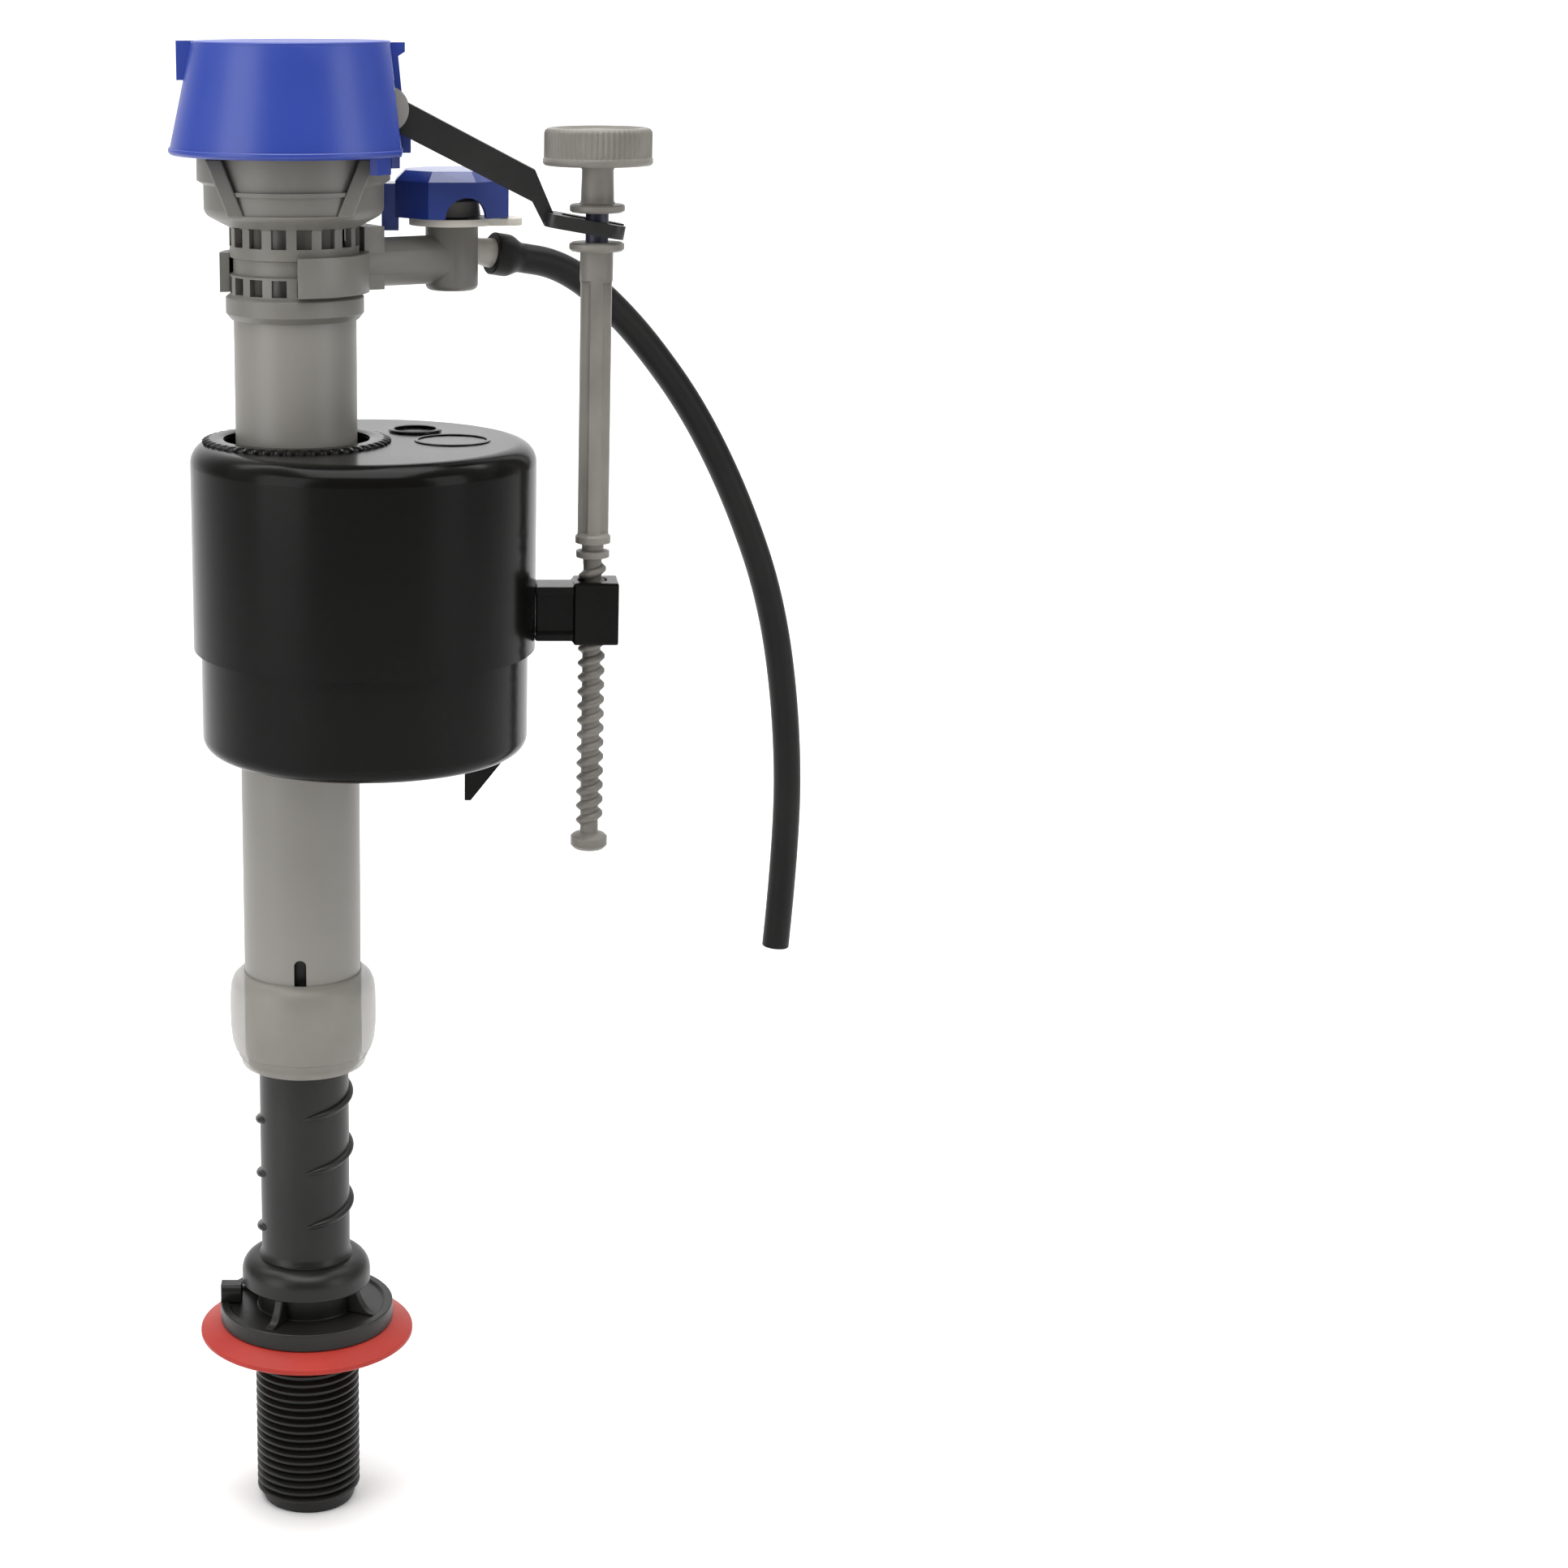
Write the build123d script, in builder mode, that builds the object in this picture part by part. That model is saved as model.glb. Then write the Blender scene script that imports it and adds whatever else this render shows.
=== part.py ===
from build123d import *
import math
import os

# Toilet fill valve. The Z axis is the axis of the riser, Z = 0 is the floor of the tank under
# the sealing washer, and the adjusting screw stands at +X. All sizes are in millimetres.

os.makedirs("parts", exist_ok=True)

# Clearances
running_gap = 0.3
shaft_fit = 0.08
seat_gap = 0.05

# Shank: threaded tail, flange, collar and ribbed stem
thread_r = 11.11
thread_depth = 1.0
thread_pitch = 1.814
thread_crest = 0.5
thread_length = 38.4
thread_end_bevel = 1.5
supply_bore_r = 6.5
washer_overhang = 4.25
washer_thickness = 3.5
flange_r = 18.45
flange_thickness = 3.8
hub_wall = 1.0
hub_height = 5.0
collar_r = 13.65
collar_height = 6.5
web_count = 4
web_start = 334.0
web_thickness = 1.8
web_inset = 1.4
web_root = 0.5
stem_r = 9.375
stem_wall = 1.475
stem_top = 128.0
stem_bore_cone = 1.2
rib_height = 1.0
rib_width = 1.7
rib_pitch = 12.1
rib_turns = 7
rib_first = 27.6
rib_arc = 298.0
rib_start = 272.0

# Inlet tube and its seal
inlet_foot_gap = 0.4
inlet_lip_depth = 0.9
inlet_wall = 1.4
inlet_drop = 1.5
inlet_grip = 8.0
inlet_lip = 1.5
inlet_seal_height = 3.5

# Riser and its lock ring
rib_clearance = 0.425
riser_wall = 1.3
riser_bottom = 61.5
riser_length = 158.5
collet_slot_width = 2.5
collet_slot_length = 26.0
collet_end_step = 0.4
collet_end_height = 3.5
lock_ring_drop = 2.5
lock_ring_height = 18.0
lock_ring_bulge = 3.1

# Valve body
socket_wall = 1.5
socket_depth = 3.4
floor_thickness = 1.5
cage_step = 0.6
cage_wall = 1.5
cage_height = 12.9
window_count = 16
window_width = 3.0
window_sill = 0.2
lower_window_height = 3.7
waist_groove_height = 3.3
waist_groove_depth = 0.7
waist_land = 2.2
cup_r = 17.6
cup_wall = 1.6
cup_floor = 1.8
cup_lower_height = 8.2
cup_band_step = 1.25
cup_band_height = 6.2
nozzle_wall = 1.8
nozzle_lip = 0.4

# Cap, diaphragm and pilot pin
cap_height = 21.4
cap_overlap = 0.5
cap_skirt_gap = 3.55
cap_wall = 1.8
cap_taper = 4.8
cap_flat_top_cut = 0.6
cap_flat_bottom_cut = 3.0
tab_drop = 3.2
diaphragm_thickness = 1.5
diaphragm_step = 0.6
deck_thickness = 1.5
pilot_nozzle_height = 1.8
pilot_nozzle_r = 2.2
pilot_hole_r = 0.7
pilot_pin_r = 0.45

# Float lever
pivot_inset = 0.6
pivot_lift = 0.7
pivot_pin_r = 1.5
pivot_hub_r = 4.3
spacer_thickness = 0.9
cheek_thickness = 1.8
lever_width = 4.0
lever_bend_inset = 12.2
lever_bend_drop = 11.5
arm_depth = 6.3
arm_rise = 3.4
link_width = 3.4
inner_arm_depth = 3.6
lever_swing = 13.7
pad_r = 1.9
pad_height = 1.6
fork_drop = 22.55
fork_thickness = 2.6
fork_width = 11.0
fork_slope = 10.0
fork_reach = 5.3
fork_root = 10.4
fork_slot_root = 7.2

# Adjusting screw and its bush
screw_reach = 11.4
knob_r = 10.7
knob_height = 7.1
screw_neck_length = 7.3
screw_rod_r = 3.25
screw_rod_length = 56.4
screw_flange_r = 5.4
screw_flange_thickness = 1.8
bush_height = 5.6
bush_r = 2.25
screw_core_r = 1.45
screw_rings_height = 4.8
screw_thread_length = 57.0
screw_thread_r = 2.75
screw_root_r = 2.0
screw_thread_pitch = 3.0
screw_end_r = 3.75
screw_end_height = 3.2

# Float
float_x = 13.3
float_side_room = 5.1
float_upper_height = 41.5
float_lower_height = 21.0
float_lower_step = 1.5
float_wall = 1.8
float_lid = 2.0
float_floor = 2.0
float_bore_gap = 2.4
float_bore_wall = 1.6
float_edge = 4.0
bracket_gap = 4.1
bracket_height = 12.7
bracket_rise = 0.8
bracket_block_reach = 5.2
bracket_block_width = 9.0
bracket_arm_width = 5.0
bracket_wall = 0.9
arm_flange = 1.4
fin_inset = 20.3
fin_height = 11.5
fin_length = 9.0
fin_thickness = 1.6
fin_toe = 1.2
fin_heel = 1.5

# Refill: clip, chamber, dial, nipple and hose
clip_height = 7.6
clip_wall = 1.92
clip_from = -85.0
clip_to = 185.0
arm_azimuth = 27.4
dial_clearance = 1.25
chamber_r = 5.3
chamber_drop = 1.2
chamber_height = 13.0
pipe_rise = 5.0
pipe_r = 4.8
pipe_bore_r = 2.8
plate_thickness = 1.4
plate_r = 8.6
plate_tongue_reach = 14.1
plate_tongue_width = 9.0
dial_r = 12.2
dial_wall = 1.5
dial_height = 9.2
dial_lobe_r = 14.0
dial_lobe_width = 9.0
arch_width = 8.4
stem_seal_thickness = 1.5
refill_stem_r = 3.2
nipple_rise = 8.5
nipple_r = 2.6
nipple_barb_r = 3.4
nipple_tip_r = 2.3
nipple_bore_r = 1.3
nipple_barb_at = 12.0
nipple_end = 16.0
nipple_azimuth = 25.0
nipple_dip = 10.0
hose_r = 3.0
hose_mouth_wall = 0.8
hose_mouth_at = 11.0

# Radii that follow from the fits, from the stem outwards
hub_r = stem_r + hub_wall
washer_r = flange_r + washer_overhang
stem_bore_r = stem_r - stem_wall
inlet_foot_r = stem_bore_r - inlet_foot_gap
inlet_r = inlet_foot_r - inlet_lip_depth
inlet_bore_r = inlet_r - inlet_wall
riser_bore_r = stem_r + rib_height + rib_clearance
riser_r = riser_bore_r + riser_wall
collet_end_r = riser_r - collet_end_step
lock_ring_r = riser_r + lock_ring_bulge
cage_r = riser_r + cage_step
nozzle_bore_r = inlet_r - nozzle_lip
nozzle_r = inlet_r + nozzle_wall
cup_band_r = cup_r + cup_band_step
diaphragm_r = cup_r + diaphragm_step
cap_bottom_r = cup_band_r + cap_skirt_gap + cap_wall
cap_top_r = cap_bottom_r - cap_taper
cap_flat_top_x = cap_top_r - cap_flat_top_cut
cap_flat_bottom_x = cap_bottom_r - cap_flat_bottom_cut
pivot_x = cap_flat_top_x - pivot_inset
float_bore_r = riser_r + float_bore_gap
float_r = float_x + float_bore_r + float_bore_wall + float_side_room
screw_x = float_x + float_r + screw_reach
lever_bend_x = screw_x - lever_bend_inset
float_lower_r = float_r - float_lower_step
clip_bore_r = cage_r + shaft_fit
clip_r = clip_bore_r + clip_wall
arm_length = cup_band_r + dial_clearance + math.hypot(dial_lobe_r, dial_lobe_width / 2)
chamber_x = arm_length * math.cos(math.radians(arm_azimuth))
chamber_y = arm_length * math.sin(math.radians(arm_azimuth))
plate_tongue_x = chamber_x + plate_tongue_reach

# Heights that follow, from the tank floor upwards
flange_top = washer_thickness + flange_thickness
collar_bottom = flange_top + hub_height
collar_top = collar_bottom + collar_height
stem_bore_bottom = collar_top + stem_bore_cone
inlet_bottom = riser_bottom - inlet_drop
collet_slot_top = riser_bottom + collet_slot_length
lock_ring_bottom = riser_bottom + lock_ring_drop
lock_ring_top = lock_ring_bottom + lock_ring_height
riser_top = riser_bottom + riser_length
inlet_top = riser_top + inlet_grip
socket_bottom = riser_top - socket_depth
cage_floor = riser_top + floor_thickness
cup_bottom = cage_floor + cage_height
cup_band_bottom = cup_bottom + cup_lower_height
cup_rim = cup_band_bottom + cup_band_height
cap_bottom = cup_rim - cap_overlap
cap_top = cap_bottom + cap_height
deck_bottom = cup_rim + diaphragm_thickness
deck_top = deck_bottom + deck_thickness
pilot_nozzle_top = deck_top + pilot_nozzle_height
pivot_z = deck_top + pivot_hub_r + pivot_lift
fork_z = pivot_z - fork_drop
screw_groove_top = fork_z + bush_height / 2 + seat_gap
screw_groove_bottom = screw_groove_top - bush_height - 2 * seat_gap
upper_flange_top = screw_groove_top + screw_flange_thickness
lower_flange_bottom = screw_groove_bottom - screw_flange_thickness
knob_bottom = upper_flange_top + screw_neck_length
knob_top = knob_bottom + knob_height
screw_rings_top = lower_flange_bottom - screw_rod_length
screw_thread_top = screw_rings_top - screw_rings_height
screw_thread_bottom = screw_thread_top - screw_thread_length
bracket_top = screw_thread_top - bracket_gap
bracket_bottom = bracket_top - bracket_height
float_split = bracket_bottom - bracket_rise
float_top = float_split + float_upper_height
float_bottom = float_split - float_lower_height
fin_bottom = float_bottom - fin_height
clip_bottom = cage_floor + running_gap
pipe_z = clip_bottom + pipe_rise
chamber_bottom = clip_bottom - chamber_drop
chamber_top = chamber_bottom + chamber_height
nipple_z = chamber_bottom + nipple_rise


def xz_outline(points, radii=None):
    """A closed outline in the XZ plane, with an optional radius at each corner."""
    with BuildSketch(Plane.XZ) as profile:
        with BuildLine():
            FilletPolyline(*points, radius=radii or [0] * len(points), close=True)
        make_face()
    return profile.sketch


def ring_teeth(crest_r, root_r, pitch, crest, bottom, top):
    """Corner points of a run of V grooves, from the bottom of a thread to its top."""
    points = []
    count = int((top - bottom) / pitch)
    for turn in range(count):
        low = bottom + turn * pitch
        points.append((crest_r, low))
        points.append((crest_r, low + crest))
        points.append((root_r, low + crest + (pitch - crest) / 2))
    points.append((crest_r, bottom + count * pitch))
    return points


# Shank: threaded tail with its flange, webs and collar
tail_teeth = ring_teeth(
    thread_r,
    thread_r - thread_depth,
    thread_pitch,
    thread_crest,
    thread_end_bevel - thread_length,
    -1.0,
)
shank_outline = [(supply_bore_r, -thread_length), (thread_r - thread_end_bevel, -thread_length)]
shank_outline += tail_teeth
shank_outline += [
    (thread_r, washer_thickness),
    (flange_r, washer_thickness),
    (flange_r, flange_top),
    (hub_r, flange_top),
    (hub_r, collar_bottom),
    (collar_r, collar_bottom),
    (collar_r, collar_top),
    (supply_bore_r, collar_top),
]
shank_radii = [0] * (2 + len(tail_teeth)) + [0, 0.8, 0.8, 0, 0, 1.0, 3.5, 0]

web_low = flange_top - web_root
web_high = collar_bottom + web_root
web_foot_x = flange_r - web_inset
web_top_x = collar_r - web_inset
with BuildSketch(Plane.XZ) as web_side:
    with BuildLine():
        Polyline(
            (web_top_x, web_high),
            (hub_r - web_root, web_high),
            (hub_r - web_root, web_low),
            (web_foot_x, web_low),
            (web_foot_x, flange_top),
        )
        ThreePointArc(
            (web_foot_x, flange_top),
            ((2 * web_top_x + web_foot_x) / 3, (flange_top * 2 + web_high) / 3),
            (web_top_x, web_high),
        )
    make_face()
web = extrude(web_side.sketch, amount=web_thickness / 2, both=True)

with BuildPart() as shank:
    revolve(xz_outline(shank_outline, shank_radii), axis=Axis.Z)
    with PolarLocations(0, web_count, start_angle=web_start):
        add(web)
    with BuildSketch(Plane.XY.offset(flange_top - 0.5)) as stop_key:
        with PolarLocations(flange_r - 2.6, 1, start_angle=180):
            Rectangle(4.4, 3.0)
    extrude(amount=4.5)
shank.part.label = "shank"
export_step(shank.part, "parts/shank.step")

# Shank stem: hollow stem of the shank, with the sloping ribs that hold the riser's height
rib_turn = Helix(pitch=rib_pitch, height=rib_pitch * rib_arc / 360, radius=stem_r)
rib_lines = [
    Pos(0, 0, rib_first + turn * rib_pitch) * Rot(0, 0, rib_start) * rib_turn
    for turn in range(rib_turns)
]
with BuildPart() as shank_stem:
    revolve(
        xz_outline(
            [
                (supply_bore_r, collar_top),
                (stem_r, collar_top),
                (stem_r, stem_top),
                (stem_bore_r, stem_top),
                (stem_bore_r, stem_bore_bottom),
            ]
        ),
        axis=Axis.Z,
    )
    for rib_line in rib_lines:
        rib_plane = Plane(origin=rib_line @ 0, x_dir=(0, 0, 1), z_dir=rib_line % 0)
        with BuildSketch(rib_plane) as rib_profile:
            Rectangle(rib_width, 2 * rib_height)
            fillet(rib_profile.vertices(), rib_width * 0.35)
        sweep(path=rib_line, is_frenet=True)
shank_stem.part.label = "shank_stem"
export_step(shank_stem.part, "parts/shank_stem.step")

# Sealing washer: soft cone clamped between the flange and the floor of the tank
with BuildPart() as cone_washer:
    revolve(
        xz_outline(
            [
                (thread_r + seat_gap, 0),
                (washer_r - 0.6, 0),
                (washer_r, 0.5),
                (washer_r, 1.3),
                (flange_r - 0.4, washer_thickness),
                (thread_r + seat_gap, washer_thickness),
            ],
            [0, 0.2, 0.2, 0.3, 0.2, 0],
        ),
        axis=Axis.Z,
    )
cone_washer.part.label = "cone_washer"
export_step(cone_washer.part, "parts/cone_washer.step")

# Inlet tube: inner water tube of the riser, telescoping in the bore of the stem
inlet_groove_bottom = inlet_bottom + inlet_lip
inlet_groove_top = inlet_groove_bottom + inlet_seal_height + 2 * seat_gap
with BuildPart() as inlet_tube:
    revolve(
        xz_outline(
            [
                (inlet_bore_r, inlet_bottom),
                (inlet_foot_r, inlet_bottom),
                (inlet_foot_r, inlet_groove_bottom),
                (inlet_r, inlet_groove_bottom),
                (inlet_r, inlet_groove_top),
                (inlet_foot_r, inlet_groove_top),
                (inlet_foot_r, inlet_groove_top + inlet_lip),
                (inlet_r, inlet_groove_top + 2 * inlet_lip),
                (inlet_r, inlet_top),
                (inlet_bore_r, inlet_top),
            ]
        ),
        axis=Axis.Z,
    )
inlet_tube.part.label = "inlet_tube"
export_step(inlet_tube.part, "parts/inlet_tube.step")

# Inlet seal: rubber cup ring in the groove of the inlet tube, wiping the bore of the stem
seal_low = inlet_groove_bottom + seat_gap
seal_high = seal_low + inlet_seal_height
with BuildPart() as inlet_seal:
    revolve(
        xz_outline(
            [
                (inlet_r + shaft_fit, seal_low),
                (inlet_r + shaft_fit + 0.25, seal_low),
                (inlet_r + 0.6, seal_low + 1.2),
                (stem_bore_r - 0.35, seal_low),
                (stem_bore_r - shaft_fit, seal_low),
                (stem_bore_r - shaft_fit, seal_high - 0.8),
                (stem_bore_r - 0.35, seal_high),
                (inlet_r + shaft_fit, seal_high),
            ]
        ),
        axis=Axis.Z,
    )
inlet_seal.part.label = "inlet_seal"
export_step(inlet_seal.part, "parts/inlet_seal.step")

# Riser: extruded tube whose slotted lower end is the collet gripped by the lock ring
with BuildPart() as riser_tube:
    revolve(
        xz_outline(
            [
                (riser_bore_r, riser_bottom),
                (collet_end_r, riser_bottom),
                (collet_end_r, riser_bottom + collet_end_height),
                (riser_r, riser_bottom + collet_end_height + 1.0),
                (riser_r, riser_top),
                (riser_bore_r, riser_top),
            ]
        ),
        axis=Axis.Z,
    )
    with BuildSketch(Plane.XZ) as collet_slot:
        with Locations((0, riser_bottom - 1.0)):
            Rectangle(
                collet_slot_width,
                collet_slot_top - collet_slot_width / 2 - riser_bottom + 1.0,
                align=(Align.CENTER, Align.MIN),
            )
        with Locations((0, collet_slot_top - collet_slot_width / 2)):
            Circle(collet_slot_width / 2)
    extrude(amount=riser_r + 1.0, both=True, mode=Mode.SUBTRACT)
    with BuildSketch(Plane.YZ) as cross_slot:
        with Locations((0, riser_bottom - 1.0)):
            Rectangle(
                collet_slot_width,
                collet_slot_top - riser_bottom + 1.0,
                align=(Align.CENTER, Align.MIN),
            )
    extrude(amount=riser_r + 1.0, both=True, mode=Mode.SUBTRACT)
riser_tube.part.label = "riser_tube"
export_step(riser_tube.part, "parts/riser_tube.step")

# Lock ring: clear barrel that slides down over the collet to hold the height
with BuildPart() as lock_ring:
    revolve(
        xz_outline(
            [
                (riser_r + shaft_fit, lock_ring_bottom),
                (riser_r + 0.7, lock_ring_bottom),
                (riser_r + 0.9, lock_ring_bottom + 2.6),
                (lock_ring_r - 1.0, lock_ring_bottom + 3.2),
                (lock_ring_r, lock_ring_bottom + 9.5),
                (lock_ring_r, lock_ring_bottom + 12.5),
                (riser_r + 1.3, lock_ring_top),
                (riser_r + shaft_fit, lock_ring_top),
            ],
            [0, 0.3, 0.4, 1.0, 6.0, 5.0, 0.6, 0],
        ),
        axis=Axis.Z,
    )
lock_ring.part.label = "lock_ring"
export_step(lock_ring.part, "parts/lock_ring.step")

# Valve body: socket on the riser, windowed cage, inlet nozzle and the cup under the cap
cage_bore_r = cage_r - cage_wall
lower_window_bottom = cage_floor + window_sill
waist_bottom = lower_window_bottom + lower_window_height
waist_top = waist_bottom + waist_groove_height
upper_window_bottom = waist_top + waist_land
upper_window_top = cup_bottom + 0.3
cup_bore_r = cup_r - cup_wall
nozzle_top = cup_rim - running_gap
body_outline = [
    (riser_r + seat_gap, socket_bottom),
    (riser_r + 0.5, socket_bottom),
    (riser_r + socket_wall, socket_bottom + 1.2),
    (riser_r + socket_wall, cage_floor - 0.6),
    (cage_r, cage_floor),
    (cage_r, waist_bottom),
    (cage_r - waist_groove_depth, waist_bottom + 0.3),
    (cage_r - waist_groove_depth, waist_top - 0.3),
    (cage_r, waist_top),
    (cage_r, cup_bottom),
    (cup_r, cup_bottom + 2.6),
    (cup_r, cup_band_bottom),
    (cup_band_r, cup_band_bottom + 0.8),
    (cup_band_r, cup_rim),
    (cup_bore_r, cup_rim),
    (cup_bore_r, cup_bottom + cup_floor + 1.6),
    (cage_bore_r, cup_bottom + cup_floor),
    (cage_bore_r, cage_floor),
    (nozzle_r, cage_floor),
    (nozzle_r, nozzle_top),
    (nozzle_bore_r, nozzle_top),
    (nozzle_bore_r, inlet_top),
    (inlet_r + seat_gap, inlet_top),
    (inlet_r + seat_gap, riser_top),
    (riser_r + seat_gap, riser_top),
]
body_radii = [0] * len(body_outline)
body_radii[2] = 0.3
body_radii[3] = 0.3
body_radii[10] = 2.2

pockets = []
for low, high, low_half, high_half in (
    (cup_bottom + 3.0, cup_band_bottom - 1.6, 10.6, 12.6),
    (cup_band_bottom - 0.8, cup_rim + 1.0, 13.0, 14.6),
):
    corners = [(-low_half, low), (low_half, low), (high_half, high), (-high_half, high)]
    block = extrude(xz_outline(corners), amount=cup_band_r + 1, both=True)
    rim = extrude(Pos(0, 0, low) * (Circle(cup_band_r + 1) - Circle(cup_r - 0.7)), high - low)
    pockets.append(block & rim)

with BuildPart() as valve_body:
    revolve(xz_outline(body_outline, body_radii), axis=Axis.Z)
    for low, high in (
        (lower_window_bottom, waist_bottom - 0.4),
        (upper_window_bottom, upper_window_top),
    ):
        with BuildSketch(Plane.XY.offset(low)) as windows:
            with PolarLocations(0, window_count, start_angle=360 / window_count / 2):
                Rectangle(cage_r + 4.0, window_width, align=(Align.MIN, Align.CENTER))
            Circle(nozzle_r + 0.5, mode=Mode.SUBTRACT)
        extrude(amount=high - low, mode=Mode.SUBTRACT)
    add(pockets, mode=Mode.SUBTRACT)
valve_body.part.label = "valve_body"
export_step(valve_body.part, "parts/valve_body.step")

# Diaphragm: rubber disc clamped between the rim of the cup and the deck of the cap
with BuildPart() as diaphragm:
    with BuildSketch(Plane.XY.offset(cup_rim)):
        Circle(diaphragm_r)
        Circle(pilot_pin_r + seat_gap, mode=Mode.SUBTRACT)
    extrude(amount=diaphragm_thickness)
diaphragm.part.label = "diaphragm"
export_step(diaphragm.part, "parts/diaphragm.step")

# Pilot pin: thin pin through the diaphragm that keeps its bleed hole clear
pin_head_r = 1.6
with BuildPart() as pilot_pin:
    revolve(
        xz_outline(
            [
                (0, cup_rim - 9.0),
                (pilot_pin_r, cup_rim - 9.0),
                (pilot_pin_r, cup_rim - 1.2),
                (pin_head_r, cup_rim - 1.2),
                (pin_head_r, cup_rim),
                (pilot_pin_r, cup_rim),
                (pilot_pin_r, pilot_nozzle_top - 0.4),
                (0, pilot_nozzle_top - 0.4),
            ]
        ),
        axis=Axis.Z,
    )
pilot_pin.part.label = "pilot_pin"
export_step(pilot_pin.part, "parts/pilot_pin.step")

# Cap: tapered cover with a flat on the lever side, an inner deck and the lever's cheeks
flat_slope = math.degrees(math.atan((cap_flat_bottom_x - cap_flat_top_x) / (cap_top - cap_bottom)))
flat_normal = (math.cos(math.radians(flat_slope)), 0, math.sin(math.radians(flat_slope)))
cap_flat = Plane(origin=(cap_flat_top_x, 0, cap_top), x_dir=(0, 1, 0), z_dir=flat_normal)
cap_inner_bottom_r = cap_bottom_r - cap_wall
cap_inner_top_r = cap_top_r - cap_wall
cheek_gap = lever_width / 2 + spacer_thickness + running_gap
cheek_back_x = cap_flat_bottom_x + 0.7

with BuildPart() as cap_hollow:
    revolve(
        xz_outline(
            [(0, cap_bottom - 1), (cap_inner_bottom_r, cap_bottom - 1),
             (cap_inner_top_r, cap_top - cap_wall), (0, cap_top - cap_wall)]
        ),
        axis=Axis.Z,
    )
    split(bisect_by=cap_flat.offset(-cap_wall), keep=Keep.BOTTOM)

with BuildPart() as cap:
    revolve(
        xz_outline(
            [(0, cap_bottom), (cap_bottom_r, cap_bottom), (cap_top_r, cap_top), (0, cap_top)],
            [0, 0.5, 1.0, 0],
        ),
        axis=Axis.Z,
    )
    split(bisect_by=cap_flat, keep=Keep.BOTTOM)
    add(cap_hollow.part, mode=Mode.SUBTRACT)
    with BuildSketch(Plane.XY.offset(deck_bottom)):
        Circle(cap_inner_top_r)
    extrude(amount=deck_thickness)
    with BuildSketch(Plane.XY.offset(deck_bottom)) as deck_edge:
        Circle(cap_inner_bottom_r + 0.2)
        Circle(cap_inner_top_r - 0.5, mode=Mode.SUBTRACT)
        with Locations((cap_flat_top_x + 0.4, 0)):
            Rectangle(20, 60, align=(Align.MIN, Align.CENTER), mode=Mode.SUBTRACT)
    extrude(amount=deck_thickness)
    with BuildSketch(Plane.XY.offset(deck_top)):
        Circle(pilot_nozzle_r)
    extrude(amount=pilot_nozzle_height)
    with BuildSketch(Plane.XY.offset(deck_bottom)):
        Circle(pilot_hole_r)
    extrude(amount=deck_thickness + pilot_nozzle_height, mode=Mode.SUBTRACT)
    with BuildSketch(Plane.XY.offset(deck_top)) as lever_slot:
        with Locations((pivot_x - 5, 0)):
            Rectangle(14, 2 * cheek_gap, align=(Align.MIN, Align.CENTER))
    extrude(amount=pivot_z + pivot_hub_r + 1.2 - deck_top, mode=Mode.SUBTRACT)
    with BuildSketch(Plane.XZ.offset(cheek_gap)) as front_cheek:
        with BuildLine():
            Polyline(
                (pivot_x - 3.4, deck_top - 0.5),
                (cap_flat_bottom_x - 0.6, deck_top - 0.5),
                (cap_flat_top_x - 0.2, cap_top - 0.6),
                (pivot_x - 3.4, cap_top - 0.6),
                close=True,
            )
        make_face()
    extrude(amount=cheek_thickness)
    with BuildSketch(Plane.XZ.offset(-cheek_gap)) as back_cheek:
        with BuildLine():
            Polyline(
                (pivot_x - 3.4, deck_top - 0.5),
                (cheek_back_x, deck_top - 0.5),
                (cap_flat_top_x + 1.6, cap_top - 3.0),
                (cap_flat_top_x + 2.9, cap_top - 2.2),
                (cap_flat_top_x + 2.9, cap_top - 0.4),
                (pivot_x - 3.4, cap_top - 0.4),
                close=True,
            )
        make_face()
    extrude(amount=-cheek_thickness)
    with BuildSketch(Plane.XZ) as pivot_bore:
        with Locations((pivot_x, pivot_z)):
            Circle(pivot_pin_r + seat_gap)
    extrude(amount=cheek_gap + cheek_thickness + 1, both=True, mode=Mode.SUBTRACT)
    with BuildSketch(Plane.XY.offset(cap_top - 7.4)) as grip_lug:
        with Locations((-cap_top_r + 1.2, 0)):
            Rectangle(4.1, 3.0, align=(Align.MAX, Align.CENTER))
    extrude(amount=7.4)
    with BuildSketch(Plane.XY.offset(cap_bottom)) as back_ledge:
        with Locations((cap_flat_bottom_x - 2.0, cheek_gap)):
            Rectangle(3.6, 6.0, align=(Align.MIN, Align.MIN))
    extrude(amount=deck_top - cap_bottom)
    with BuildSketch(Plane.XY.offset(cap_bottom - tab_drop)) as hanging_tabs:
        with PolarLocations(cap_inner_bottom_r - 0.6, 1, start_angle=-38):
            Rectangle(1.8, 4.2)
        with PolarLocations(cap_inner_bottom_r - 1.6, 1, start_angle=26):
            Rectangle(1.8, 5.2)
    extrude(amount=deck_bottom - cap_bottom + tab_drop + 0.2)
cap.part.label = "cap"
export_step(cap.part, "parts/cap.step")

# Lever pivot: pin with two spacer discs that centre the lever between the cap's cheeks
spacer_inner = lever_width / 2 + shaft_fit
with BuildPart() as lever_pivot:
    with BuildSketch(Plane.XZ) as pivot_pin:
        with Locations((pivot_x, pivot_z)):
            Circle(pivot_pin_r)
    extrude(amount=cheek_gap + cheek_thickness, both=True)
    for side in (-1, 1):
        with BuildSketch(Plane.XZ.offset(side * spacer_inner)) as spacer:
            with Locations((pivot_x, pivot_z)):
                Circle(pivot_hub_r)
        extrude(amount=side * spacer_thickness)
lever_pivot.part.label = "lever_pivot"
export_step(lever_pivot.part, "parts/lever_pivot.step")

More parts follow.
